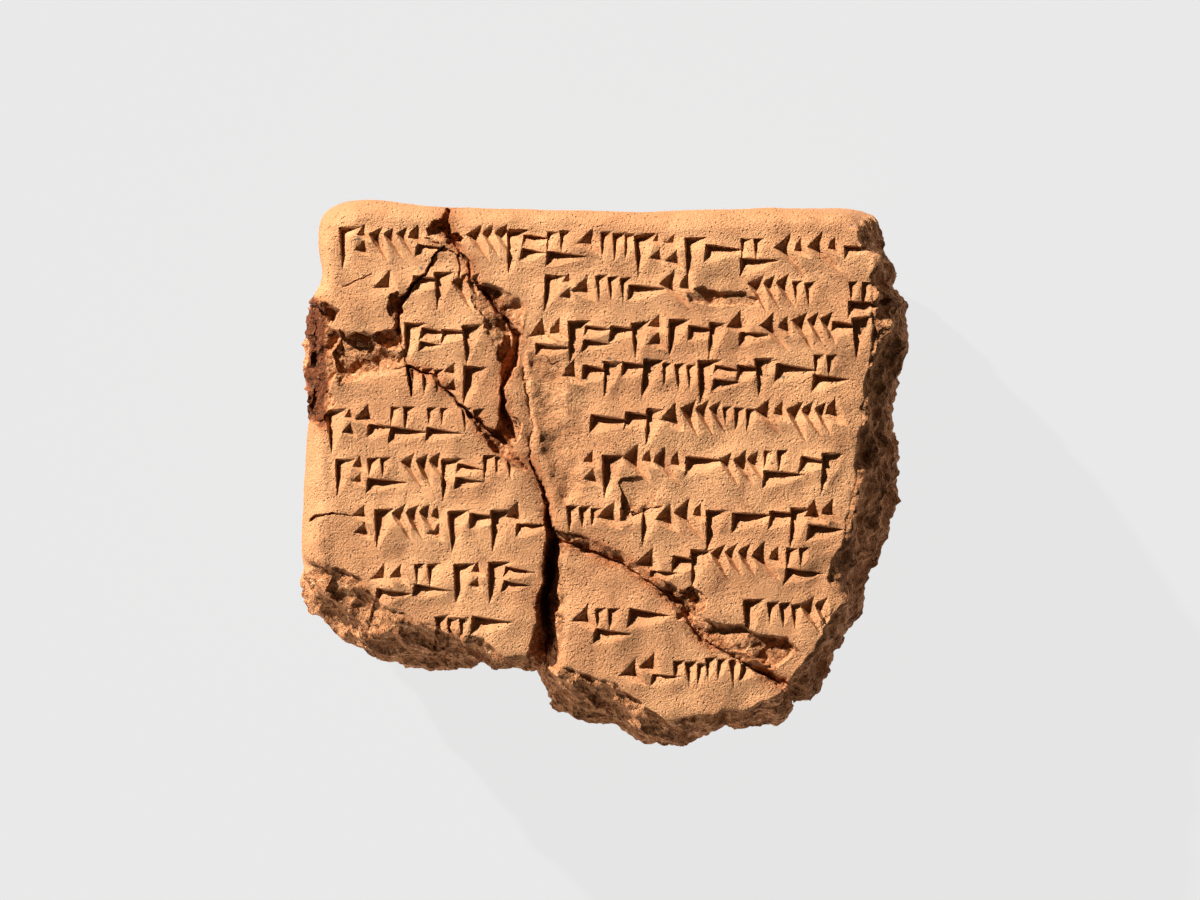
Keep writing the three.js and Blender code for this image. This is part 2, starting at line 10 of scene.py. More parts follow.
import bpy
import numpy as np
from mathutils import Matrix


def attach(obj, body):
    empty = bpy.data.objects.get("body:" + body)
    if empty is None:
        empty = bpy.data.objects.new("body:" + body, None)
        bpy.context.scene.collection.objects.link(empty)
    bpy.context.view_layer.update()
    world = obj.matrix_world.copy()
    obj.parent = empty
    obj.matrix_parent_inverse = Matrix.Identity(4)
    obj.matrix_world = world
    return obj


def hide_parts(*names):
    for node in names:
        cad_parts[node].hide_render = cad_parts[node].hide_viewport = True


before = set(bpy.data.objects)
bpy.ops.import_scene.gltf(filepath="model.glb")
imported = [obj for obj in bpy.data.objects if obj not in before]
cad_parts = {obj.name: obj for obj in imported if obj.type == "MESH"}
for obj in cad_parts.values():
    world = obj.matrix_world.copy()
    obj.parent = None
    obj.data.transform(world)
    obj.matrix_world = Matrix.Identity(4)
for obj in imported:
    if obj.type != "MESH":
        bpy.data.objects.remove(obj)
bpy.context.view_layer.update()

MM = 0.001

# Sizes of the tablet
THICKNESS = 23.0
FACE_FALL = 1.3  # how far the written face falls from its crown to its corners
FALL_ACROSS = 0.45  # the share of that fall toward the left and right
HALF_WIDTH = 61.3 / 2
HALF_HEIGHT = 54.9 / 2
SHOULDER = 2.6  # radius where the face turns over the maker's edges
ARRIS = 0.35  # the same at a break
WIDEST_SHOULDER = 0.95  # of the room between face edge and girth
REVERSE_INSET = 2.6  # how far the reverse's edge lies in from the girth
REVERSE_RISE = 2.4  # and how far above the ground
REST_SHARE = 0.26  # the share of the way in over which the reverse comes down to rest
MIDDLE = (-0.03, 0.1)  # the drawn outline's middle, which becomes the origin

# Outline stations: face edge x, y, girth x, y, girth height, anticlockwise seen from above
HEAD_EDGE = [
    [24.8, 23.8, 27.6, 26.1, 12], [23.6, 24.1, 26.4, 26.7, 12], [15.5, 23.9, 16, 26.5, 12],
    [3.8, 23.5, 3.9, 26.1, 12], [-8.2, 23.8, -8.3, 26.4, 12], [-18.1, 24.1, -18.5, 26.7, 12],
    [-22.0, 24.8, -22.7, 27.5, 12], [-24.3, 24.7, -26, 27.5, 12], [-26.1, 23.9, -28.8, 26.5, 12],
]
LEFT_EDGE = [
    [-26.1, 23.9, -28.8, 26.5, 12], [-26.4, 22.2, -28.9, 22.9, 12], [-25.9, 19.5, -28.0, 19.5, 12],
    [-26.9, 17.3, -29.3, 17.3, 10], [-27.2, 15.4, -30.1, 15.6, 7], [-27.0, 9.0, -30.3, 8.4, 7],
    [-27.4, 7.0, -30.1, 6.9, 8], [-27.3, 6.0, -29.5, 6.1, 13], [-27.4, 2.0, -30.0, 2.0, 12],
    [-27.7, -4.0, -30.4, -4.0, 12], [-28.2, -8.8, -30.5, -10.6, 11],
]
FOOT_BREAK = [
    [-28.2, -8.8, -30.5, -10.6, 11], [-27.0, -9.5, -29.5, -13.6, 15], [-24.3, -10.7, -26.4, -16.1, 16],
    [-21.4, -13.8, -22.6, -19.0, 16], [-16.6, -15.3, -17.0, -19.9, 16],
    [-12.4, -16.4, -13.3, -19.3, 16], [-9.8, -18.5, -9.3, -19.5, 10], [-6.4, -18.5, -6.2, -20.4, 10],
    [-5.4, -18.7, -5.5, -21.9, 14], [-4.5, -19.3, -4.9, -23.5, 16], [-1.3, -20.3, -1.9, -25.3, 16.5],
    [0.9, -21.0, 0.4, -25.3, 16.5], [4.2, -23.4, 4.3, -27.2, 16.5], [6.5, -25.0, 6.4, -27.5, 16],
    [8.4, -24.8, 8.6, -26.9, 14], [12.4, -24.1, 12.6, -25.4, 16], [15.0, -23.7, 15.3, -26.0, 14],
    [17.2, -22.6, 18.5, -25.6, 12], [17.8, -22.0, 19.0, -23.0, 9], [18.4, -21.2, 22.4, -22.7, 8],
]
RIGHT_BREAK = [
    [18.4, -21.2, 22.4, -22.7, 8], [21.4, -17.2, 23.7, -18.1, 9], [23.7, -12.9, 26.3, -13.9, 10],
    [22.4, -11.0, 26.1, -11.6, 10], [23.1, -8.8, 27.4, -9.4, 10], [24.2, -5.9, 29.2, -6.4, 13],
    [24.8, -1.7, 29.8, -1.2, 14], [25.5, 2.4, 29.7, 2.4, 15], [25.8, 6.6, 29.1, 7.1, 17],
    [26.1, 8.2, 29.5, 8.7, 18], [26.9, 12.2, 30.6, 12.7, 19], [26.9, 15.8, 30.4, 16.7, 19],
    [26.6, 17.6, 29.1, 18.1, 17.5], [26.7, 19.0, 29.3, 20.4, 14], [26.9, 20.8, 28.1, 21.9, 12],
    [24.8, 23.8, 27.6, 26.1, 12],
]

# Cracks and joins: x, y, reach to the left of the way along, reach to the right, depth
CRACKS = {
    "head_notch": [
        [-15.7, 26.2, 0.25, 0.25, 0.8], [-15.9, 24.8, 0.35, 0.3, 1.2], [-15.5, 23.4, 0.5, 0.4, 1.2],
        [-14.2, 21.8, 0.12, 0.12, 0.6], [-13.3, 20.9, 0.15, 0.15, 0.6],
    ],
    "main_join": [
        [-13.3, 20.9, 0.15, 0.15, 0.6], [-13.4, 19.2, 0.2, 0.2, 0.8], [-12.5, 18.4, 0.25, 0.25, 0.8],
        [-11.3, 17, 0.35, 0.35, 1.3], [-9.8, 15.4, 0.2, 0.2, 0.8], [-8.3, 13.6, 0.3, 0.6, 1.2],
        [-8.2, 12, 0.25, 1.6, 1.4], [-8.5, 10.6, 0.3, 1.9, 1.4], [-9.3, 9.6, 0.5, 1, 1.5],
        [-10, 8.4, 0.3, 0.3, 1.2], [-9.9, 6, 0.45, 0.5, 1.5], [-9.4, 4.2, 0.9, 1.2, 1.8],
        [-8.8, 3.2, 0.6, 0.8, 1.6],
    ],
    "lower_join": [
        [-7, 0.8, 0.12, 0.15, 0.5], [-6.2, -1.2, 0.15, 0.25, 0.8], [-5.5, -3, 0.15, 0.3, 1],
        [-5.1, -4.8, 0.25, 0.5, 1.6], [-4.7, -6.9, 0.7, 0.6, 2.2], [-5.3, -9, 0.4, 0.6, 3],
        [-5.6, -12.8, 0.5, 0.8, 2.4], [-5.6, -16, 0.8, 1.3, 1.8], [-5.6, -19.8, 1.2, 2, 1.8],
    ],
    "foot_join": [
        [-4.6, -6.5, 0.6, 0.7, 1.4], [-3, -7.3, 1.1, 0.7, 0.45], [-1, -8, 1.1, 0.6, 0.3],
        [0.8, -8.9, 1.0, 0.5, 0.3], [4.6, -10.8, 0.9, 0.5, 0.3], [6.8, -12.2, 0.8, 0.7, 0.5],
        [8.4, -14.2, 0.9, 0.8, 0.9], [10.2, -17, 0.9, 0.4, 0.45], [13.6, -18.9, 0.8, 0.3, 0.35],
        [17.9, -21.3, 0.8, 0.4, 0.4],
    ],
    "flake_edge": [
        [-15.9, 22.4, 0.15, 0.15, 0.6], [-17.1, 21.3, 0.12, 0.12, 0.5], [-17.4, 19.6, 0.15, 0.2, 0.6],
        [-18.3, 19, 0.25, 0.25, 0.8], [-19.4, 17.9, 0.3, 0.25, 0.9], [-20.3, 16.7, 0.6, 0.6, 1.8],
        [-20.1, 15.4, 0.3, 0.25, 1], [-20.6, 13.8, 0.5, 0.4, 1.6],
    ],
    "cross_crack": [
        [-19.4, 10.4, 0.25, 0.15, 0.8], [-16.6, 9.2, 0.15, 0.15, 0.5], [-14.8, 7.2, 0.15, 0.15, 0.6],
        [-13.2, 5.6, 0.25, 0.25, 0.9], [-11.8, 4.4, 0.35, 0.6, 1.2], [-10, 3.2, 0.3, 1, 1.3],
        [-8.6, 1.4, 0.3, 0.9, 1], [-7.6, 0.2, 0.2, 0.4, 0.8],
    ],
    "left_crack": [
        [-29.2, -5.2, 0.2, 0.2, 0.5], [-28.6, -4.8, 0.2, 0.2, 0.7], [-26.8, -4.3, 0.12, 0.12, 0.6],
        [-25.1, -4.4, 0.08, 0.08, 0.4],
    ],
}

# Hollows: x, y, long half-width, short half-width, turn in degrees, depth
HOLLOWS = {
    "below_flake": [-23.6, 11.4, 3.8, 2.3, -12, 0.7],
    "bowl": [-9.4, 12.2, 1.1, 1.9, 8, 1.2],
    "join_pocket": [-9.6, 4.2, 1.5, 1, 20, 1.2],
    "foot_pocket": [8.1, -14.2, 0.8, 1.1, 0, 0.8],
}

# Torn pits: the deep point's x, y, depth, then the same for each corner round it
TORN_PITS = {
    "under_flake": [[-24.6, 12.5, 1.3], [
        [-26.9, 12.8, 0.2], [-26.3, 14.2, 0.3], [-25.4, 13.2, 1.0], [-24.4, 14.0, 0.9], [-23.4, 13.2, 1.4],
        [-22.6, 13.6, 1.2], [-22.9, 12.6, 1.1], [-23.6, 11.6, 0.9], [-24.4, 10.6, 0.7], [-26.0, 10.6, 0.2]]],
    "under_flake_right": [[-21.1, 13.2, 1.2], [
        [-22.9, 12.6, 1.1], [-22.6, 13.7, 1.2], [-21.2, 13.9, 1.1], [-20.3, 14.3, 0.5], [-19.9, 12.9, 0.3],
        [-20.6, 12.2, 0.4], [-21.6, 11.9, 0.7]]],
    "flake_hole": [[-20.8, 16.6, 0.8], [
        [-21.4, 17.6, 0.5], [-20.6, 18.1, 0.3], [-20.0, 17.5, 0.2], [-19.8, 16.2, 0.1], [-20.2, 15.0, 0.2],
        [-20.9, 15.3, 0.5], [-21.5, 16.3, 0.7]]],
    "notch_left": [[-16.3, 24.0, 0.8], [
        [-17.0, 24.8, 0.5], [-16.0, 25.1, 0.4], [-15.5, 24.2, 0.3], [-15.7, 23.2, 0.5], [-16.6, 23.2, 0.1],
        [-17.4, 23.5, 0.2], [-17.5, 24.1, 0.5]]],
    "notch_low": [[-14.7, 22.9, 0.9], [
        [-15.4, 23.5, 0.4], [-14.6, 23.5, 0.6], [-13.8, 23.0, 0.3], [-13.9, 22.5, 0.1], [-15.0, 22.3, 0.1],
        [-15.7, 22.7, 0.3]]],
    "notch_rubble": [[-18.1, 22.9, 0.3], [
        [-19.3, 23.2, 0.2], [-18.4, 23.6, 0.4], [-17.2, 23.3, 0.1], [-16.4, 22.9, 0.3], [-16.9, 22.3, 0.1],
        [-18.6, 22.3, 0.1]]],
    "line_seven_pit": [[3.5, -2.5, 0.25], [
        [1.7, -1.2, 0.1], [2.7, -0.5, 0.3], [4.5, -0.7, 0.1], [5.5, -1.9, 0.1], [5.2, -3.5, 0.4],
        [3.7, -4.4, 0.6], [2.0, -3.9, 0.5]]],
    "foot_rubble": [[8.9, -13.2, 0.6], [
        [7.4, -12.2, 0.3], [9.0, -11.8, 0.4], [10.6, -12.8, 0.2], [10.4, -14.0, 0.4], [9.2, -14.6, 0.6],
        [7.8, -13.6, 0.7]]],
    "join_slab": [[-10.6, 15.2, 0.5], [
        [-13.6, 18.4, 0.2], [-11.4, 18.0, 0.4], [-9.2, 16.4, 0.5], [-8.2, 14.4, 0.3], [-9.6, 13.6, 0.7],
        [-11.6, 14.6, 0.4], [-12.6, 16.4, 0.4]]],
}

# Lines of strokes: rise of the heads at the left and right ends, and the stretches still whole
LINES = [
    [0.1, -1.5, [[-26.4, -17.2], [-13.4, 26.0]]],
    [0.1, -0.6, [[-22.6, -19.9], [-19.0, -12.6], [-5.8, 9.0], [14.6, 20.8], [24.4, 26.6]]],
    [-0.4, 0.7, [[-19.8, -11.4], [-7.0, 26.4]]],
    [0.3, 1.6, [[-19.4, -10.8], [-4.0, 24.8]]],
    [0.9, 1.6, [[-27.8, -12.2], [-1.4, 25.2]]],
    [0.7, 1.7, [[-27.0, -8.8], [-2.0, 24.6]]],
    [0.6, 0.9, [[-24.8, -6.6], [-3.6, 23.8]]],
    [-0.6, 2.0, [[-22.8, -7.4], [3.8, 22.2]]],
    [-0.7, 1.5, [[-17.0, -10.6], [-2.8, 6.0], [13.8, 21.8]]],
    [-0.7, 0.3, [[2.0, 15.4]]],
]
FIRST_LINE = 24.3
LINE_PITCH = 4.8
LINE_LEFT = -28.0
LINE_RIGHT = 27.0

# A full stroke, from its deep point: how far to the tail's tip, back to the head's rim, and out to the
# rim on the tail's left and right; last, where the deep point lies from the head's corner
STROKE_DEPTH = 0.9
STROKE_SHAPES = {
    "upright": {"turn": -90, "tail": 3.8, "head": 0.45, "left": 1.9, "right": 0.22, "at": [0.24, -0.46]},
    "level": {"turn": 0, "tail": 3.9, "head": 0.45, "left": 0.24, "right": 1.6, "at": [0.45, -0.24]},
    "raked": {"turn": -62, "tail": 3.2, "head": 0.8, "left": 1.3, "right": 0.5, "at": [0.6, -0.85]},
    "slanted": {"turn": -45, "tail": 1.9, "head": 1.0, "left": 1.0, "right": 1.0, "at": [0.85, -1.0]},
}

# Groups of strokes: how much of the line each takes, and each stroke's shape, place, size and lean
GROUPS = [
    [2.6, [["upright", 0, 0, 1.06, 0]]],
    [4.2, [["level", 0, -0.3, 1, -4], ["upright", 2.1, 0.1, 1.02, 0]]],
    [3.4, [["upright", 0, 0, 1.06, 0], ["slanted", 1.9, -0.1, 0.6, 0], ["slanted", 1.9, -1.6, 0.6, 0]]],
    [3.9, [["upright", 0.1, 0.1, 0.6, 0], ["upright", 1.4, 0.1, 0.6, 0], ["level", 0, -1.9, 1, -3]]],
    [1.9, [["slanted", 0, 0, 1.0, 0]]],
    [3.6, [["upright", 0, 0, 0.66, 3], ["upright", 1.2, -0.1, 0.66, 3], ["upright", 2.4, -0.2, 0.66, 3]]],
    [3.9, [["level", 0, -0.6, 1, -3], ["upright", 1.8, 0.1, 1.06, 0], ["upright", 2.9, 0, 0.6, 0]]],
    [3.9, [["slanted", 0, 0.1, 0.7, 0], ["slanted", 0.1, -1.6, 0.7, 0], ["upright", 1.7, 0, 1.05, 0]]],
    [3.8, [["level", 0, -0.5, 1.1, -4]]],
    [3.3, [["slanted", 0, 0.1, 0.95, 0], ["level", 0.8, -1.5, 0.85, -5]]],
    [3.8, [["slanted", 0, 0, 0.9, 4], ["slanted", 1.7, 0.05, 0.9, 4], ["level", 0.1, -2.0, 1, -6]]],
    [4.1, [["upright", 0, 0.1, 1.1, 0], ["level", 1.6, -0.4, 0.85, -10], ["level", 1.5, -1.8, 0.75, -6]]],
    [4.2, [["raked", 0, 0, 0.95, 0], ["raked", 1.35, 0.05, 0.9, 0], ["raked", 2.7, 0.1, 0.85, 0]]],
    [3.2, [["raked", 0, 0.1, 1.1, 12], ["slanted", 1.7, 0, 0.8, 0]]],
]
SIZE_SPREAD = 0.07
LEAN_SPREAD = 5
RISE_SPREAD = 0.3
LEAST_ROOM = 1.4  # a line ends when less than this is left
START_SPREAD = 0.3
CLOSEST = 0.88  # how close groups follow each other, as a share of their usual room
CLOSENESS_SPREAD = 0.16


def placed(points):
    """Points drawn about the outline's middle, moved so that the middle is the origin."""
    moved = np.array(points, dtype=float)
    moved[:, 0] -= MIDDLE[0]
    moved[:, 1] -= MIDDLE[1]
    return moved


def on_ground(x, y):
    """Points at x, y with no height, to read a noise at."""
    return np.stack([x, y, np.zeros_like(x)], axis=1)


def from_ends(count):
    """How many steps each place of a run lies from its nearer end."""
    steps = np.arange(count)
    return np.minimum(steps, steps[::-1])


def face_height(x, y):
    """The written face before strokes: the crown less a share of (x/half)^2 and (y/half)^4."""
    across, along = (x / HALF_WIDTH) ** 2, (y / HALF_HEIGHT) ** 4
    return THICKNESS - FACE_FALL * (FALL_ACROSS * across + (1 - FALL_ACROSS) * along)


def smooth_step(low, high, value):
    """0 below low, 1 above high, and 3t^2 - 2t^3 between."""
    t = np.clip((value - low) / (high - low), 0, 1)
    return t * t * (3 - 2 * t)


# Noise that gives the clay its unevenness, and lists of its heights and sizes in mm, with seeds
LATTICE = 256
SWELL_HEIGHT = 1.6  # brings the noise to about -1 to 1
SCAR_STRAY = 0.45  # how far a scar's centre lies from its cell's middle, in cells
SCAR_LIFT = 0.5  # how unequal the scars' depths are
SMOOTHED_FACE = [(0.25, 6.0, 41), (0.2, 2.6, 42), (0.04, 1.1, 43)]
WORN_STROKES = [(0.18, 4.5, 45), (0.12, 1.3, 46)]
HANDLED_SIDES = [(0.1, 3.0, 51), (0.04, 0.9, 52)]
REVERSE_SWELLS = [(0.12, 6.0, 61), (0.05, 1.6, 62)]
RAGGED_BREAKS = [(0.35, 2.2, 31), (0.18, 0.8, 32)]
RECESS_STRAYS = [(0.2, 4.0, 71), (0.14, 1.2, 72)]
WANDER_ACROSS = [(0.35, 3.4, 21), (0.26, 1.5, 22), (0.12, 0.5, 23)]
WANDER_ALONG = [(0.35, 3.4, 24), (0.26, 1.5, 25), (0.12, 0.5, 26)]
BREAK_SCARS = [(1.3, 3.4, 11), (0.6, 1.5, 12), (0.16, 0.7, 13)]
BREAK_GRAIN = (0.07, 0.4, 14)
BREAK_SINKS = 1.0
BREAK_LAYERS = np.array([1.0, 1.0, 1.7])  # the clay was kneaded flat, so scars are low and long


def lattice_tables(seed):
    """A shuffled count and as many directions spread over the sphere."""
    rng = np.random.default_rng(seed)
    ways = rng.normal(size=(LATTICE, 3))
    ways /= np.linalg.norm(ways, axis=1)[:, None]
    return rng.permutation(LATTICE), ways.astype(np.float32)


def corner_hash(order, cell):
    """The lattice's shuffled number at whole-number cells."""
    mask = LATTICE - 1
    return order[(order[(order[cell[:, 0] & mask] + cell[:, 1]) & mask] + cell[:, 2]) & mask]


def swell(points, size, seed):
    """Gradient noise, about -1 to 1: at each lattice corner a slope, blended by 6t^5 - 15t^4 + 10t^3."""
    order, ways = lattice_tables(seed)
    scaled = (points / size).astype(np.float32)
    cell = np.floor(scaled).astype(np.int64)
    part = scaled - cell
    fade = part**3 * (part * (part * 6 - 15) + 10)
    total = np.zeros(len(points), dtype=np.float32)
    for corner in np.ndindex(2, 2, 2):
        step = np.array(corner)
        slope = ways[corner_hash(order, cell + step)]
        weight = np.prod(np.where(step, fade, 1 - fade), axis=1)
        total += weight * np.einsum("ij,ij->i", slope, part - step)
    return SWELL_HEIGHT * total


def waves(points, layers):
    """The noises of a list of (height, size, seed), each its height times swell."""
    return [height * swell(points, size, seed) for height, size, seed in layers]


def scoops(points, size, seed):
    """Shell-shaped scars, 0 to about 1: each point's least (squared distance + lift) to a scattered
    centre, one centre to a cell, so that ridges stand where two scars meet."""
    order, ways = lattice_tables(seed)
    scaled = (points / size).astype(np.float32)
    cell = np.floor(scaled).astype(np.int64)
    least = np.full(len(points), np.inf, dtype=np.float32)
    for corner in np.ndindex(3, 3, 3):
        there = cell + np.array(corner) - 1
        mark = corner_hash(order, there)
        centre = there + 0.5 + SCAR_STRAY * ways[mark]
        lift = SCAR_LIFT * (mark / LATTICE)
        gap = scaled - centre
        least = np.minimum(least, np.einsum("ij,ij->i", gap, gap) + lift)
    return least


def broken_clay(points):
    """Height of a break in mm: scars of three sizes, each its height times scoops, with grain on them,
    less how far the break sinks."""
    scars = [height * scoops(points * BREAK_LAYERS, size, seed) for height, size, seed in BREAK_SCARS]
    return sum(scars) + waves(points, [BREAK_GRAIN])[0] - BREAK_SINKS


# The strokes' counting rule
COUNT_FROM = 20117
COUNT_MODULUS = 2147483647
COUNT_FACTOR = 16807


def counter(seed):
    """A run of numbers from 0 to 1, each the last one's count times a factor, less whole turns."""
    state = seed
    while True:
        state = state * COUNT_FACTOR % COUNT_MODULUS
        yield state / COUNT_MODULUS


def all_strokes():
    """Every stroke, group after group along each line, as its deep point, turn, size and shape."""
    numbers = counter(COUNT_FROM)

    def vary(spread):
        return spread * (2 * next(numbers) - 1)

    strokes = []
    for row, (left_rise, right_rise, spans) in enumerate(LINES):
        base = FIRST_LINE - row * LINE_PITCH
        for start, end in spans:
            x = start + START_SPREAD * next(numbers)
            while x < end - LEAST_ROOM:
                width, members = GROUPS[int(next(numbers) * len(GROUPS))]
                share = (x - LINE_LEFT) / (LINE_RIGHT - LINE_LEFT)
                y = base + left_rise + (right_rise - left_rise) * share + vary(RISE_SPREAD)
                for kind, dx, dy, usual, lean in members:
                    shape = STROKE_SHAPES[kind]
                    size = usual + vary(SIZE_SPREAD)
                    turn = shape["turn"] + lean + vary(LEAN_SPREAD)
                    deep_x = x + dx + shape["at"][0] * size
                    if deep_x < end:
                        deep_y = y + dy + shape["at"][1] * size
                        strokes.append((deep_x, deep_y, math.radians(turn), size, shape))
                x += width * (CLOSEST + CLOSENESS_SPREAD * next(numbers))
    return strokes


TAIL_CURVE = 1.3  # the tail stays deep, then runs out
TAIL_ROOM = 0.3  # past a full stroke's tail, in which it is still worked out
RIM_WEAR = 0.07  # rounding of a stroke's rim


def stroke_relief(x, y, strokes):
    """Depth of the strokes at x, y. One stroke is a three-sided pit: the deep point's depth, less the
    greatest of three surfaces that rise to the tail's two sides and to the head, worn at the rim."""
    depth = np.zeros_like(x)
    for sx, sy, turn, size, shape in strokes:
        sx, sy = sx - MIDDLE[0], sy - MIDDLE[1]
        reach = (shape["tail"] + TAIL_ROOM) * size
        near = (np.abs(x - sx) < reach) & (np.abs(y - sy) < reach)
        dx, dy = x[near] - sx, y[near] - sy
        along = dx * math.cos(turn) + dy * math.sin(turn)
        aside = dy * math.cos(turn) - dx * math.sin(turn)
        share = along / (shape["tail"] * size)
        rise = size * np.sign(share) * np.abs(share) ** TAIL_CURVE
        sides = np.maximum(aside / shape["left"], -aside / shape["right"])
        under = STROKE_DEPTH * (size - np.maximum(sides + rise, -along / shape["head"]))
        pit = 0.5 * (under + np.sqrt(under**2 + RIM_WEAR**2)) - 0.5 * RIM_WEAR
        depth[near] = np.maximum(depth[near], pit)
    return depth


def along_line(x, y, points):
    """For each x, y: distance to the nearest place on a broken line, whether it lies to the left of
    the way along, and the line's own further values there, mixed between its points."""
    nearest = np.full(x.shape, np.inf)
    on_left = np.zeros(x.shape, dtype=bool)
    values = np.zeros((points.shape[1] - 2, *x.shape))
    for a, b in zip(points[:-1], points[1:]):
        sx, sy = b[0] - a[0], b[1] - a[1]
        t = np.clip(((x - a[0]) * sx + (y - a[1]) * sy) / (sx * sx + sy * sy), 0, 1)
        dx, dy = x - a[0] - t * sx, y - a[1] - t * sy
        gap = np.hypot(dx, dy)
        closer = gap < nearest
        nearest = np.where(closer, gap, nearest)
        on_left = np.where(closer, sx * dy - sy * dx > 0, on_left)
        for k in range(len(values)):
            values[k] = np.where(closer, a[2 + k] + (b[2 + k] - a[2 + k]) * t, values[k])
    return nearest, on_left, values


def inside(x, y, corners):
    """Whether each x, y lies inside a closed outline: a level ray from it crosses an odd number of sides."""
    odd = np.zeros(x.shape, dtype=bool)
    for (ax, ay), (bx, by) in zip(corners, np.roll(corners, -1, axis=0)):
        spans = (ay > y) != (by > y)
        with np.errstate(divide="ignore", invalid="ignore"):
            crossing = ax + (y - ay) * (bx - ax) / (by - ay)
        odd ^= spans & (x < crossing)
    return odd


# Damage too fine for the plain solid

# Hairlines: x, y, reach left, reach right, depth
HAIRLINES = {
    "join_hairline": [
        [-7.8, 10.2, 0.1, 0.1, 0.15], [-7.5, 8.5, 0.12, 0.12, 0.25], [-7.3, 6.4, 0.12, 0.1, 0.2],
        [-7.1, 4.3, 0.12, 0.12, 0.3], [-7.1, 1.2, 0.12, 0.14, 0.4],
    ],
    "cross_foot": [
        [-19.4, 10.4, 0.25, 0.3, 0.9], [-19.1, 8.3, 0.25, 0.3, 1.0], [-18.9, 7.4, 0.12, 0.12, 0.4],
    ],
    "corner_scratch": [
        [-25.9, 18.3, 0.1, 0.1, 0.2], [-24.6, 18.9, 0.14, 0.14, 0.35], [-23.0, 19.4, 0.1, 0.1, 0.2],
    ],
    "wedge_crack": [
        [-14.3, 22.0, 0.12, 0.12, 0.4], [-14.1, 20.4, 0.12, 0.12, 0.4], [-14.5, 19.9, 0.14, 0.14, 0.5],
        [-14.3, 19.0, 0.1, 0.1, 0.4], [-13.0, 18.7, 0.14, 0.14, 0.5],
    ],
    "pit_ring": [
        [1.9, -3.7, 0.1, 0.1, 0.7], [3.3, -4.5, 0.14, 0.14, 0.9], [4.6, -4.0, 0.12, 0.12, 0.7],
    ],
    "wear_crack": [
        [-6.4, 12.4, 0.1, 0.1, 0.3], [-5.0, 10.6, 0.14, 0.14, 0.4], [-4.2, 10.9, 0.1, 0.1, 0.3],
    ],
}

# How boxy a crack's section is: 1.5 is a sharp trough, more has a flatter floor
SECTION = 1.5
BOXY_SECTIONS = {"foot_join": 4.0, "lower_join": 2.2, "main_join": 2.2}
BOWL_SECTION = 2.2  # the same for a hollow
THREE_LOBES = 0.14  # how far a hollow's rim swings in and out, as shares of its reach
FIVE_LOBES = 0.08
CRACK_ROOM = 6  # mm round a crack in which it is worked out
UNSTAINED = ("flake_edge", "left_crack")
STAIN_FROM = 0.7  # of a crack's reach
STAIN_REACH = 1.1
BARE_FROM_EDGE = 0.2  # mm in from a spall's edge over which the skin ends
FULLY_BARE = 0.7  # a spall this deep shows torn clay only
BARE_DEPTHS = (0.15, 0.6)  # depths of damage between which the skin is lost

# Worn shoulders of the joined blocks: x, y, reach left, reach right, depth at the line
SHOULDERS = {
    "upper": [
        [-12.6, 18.4, 0.9, 0.9, 0.3], [-9.0, 13.8, 1.6, 1.0, 0.4], [-8.0, 11.0, 1.2, 1.4, 0.3],
        [-7.3, 6.4, 0.8, 1.6, 0.25], [-7.1, 1.2, 0.8, 1.2, 0.25], [-6.2, -1.2, 0.9, 1.2, 0.3],
        [-5.2, -4.6, 1.0, 1.3, 0.5],
    ],
    "lower": [
        [-4.6, -7.6, 1.4, 1.1, 0.9], [-5.3, -9.6, 2.4, 1.0, 1.5], [-5.5, -12.8, 2.8, 1.0, 1.9],
        [-5.6, -16.0, 2.6, 1.6, 1.9], [-5.6, -19.6, 2.2, 1.6, 1.7],
    ],
    "foot": [
        [-3.4, -7.3, 0.9, 1.0, 0.3], [0.8, -8.9, 0.9, 1.0, 0.25], [6.8, -12.2, 0.9, 0.9, 0.4],
        [10.2, -17.0, 0.8, 0.9, 0.3], [17.9, -21.3, 0.6, 0.8, 0.3],
    ],
}

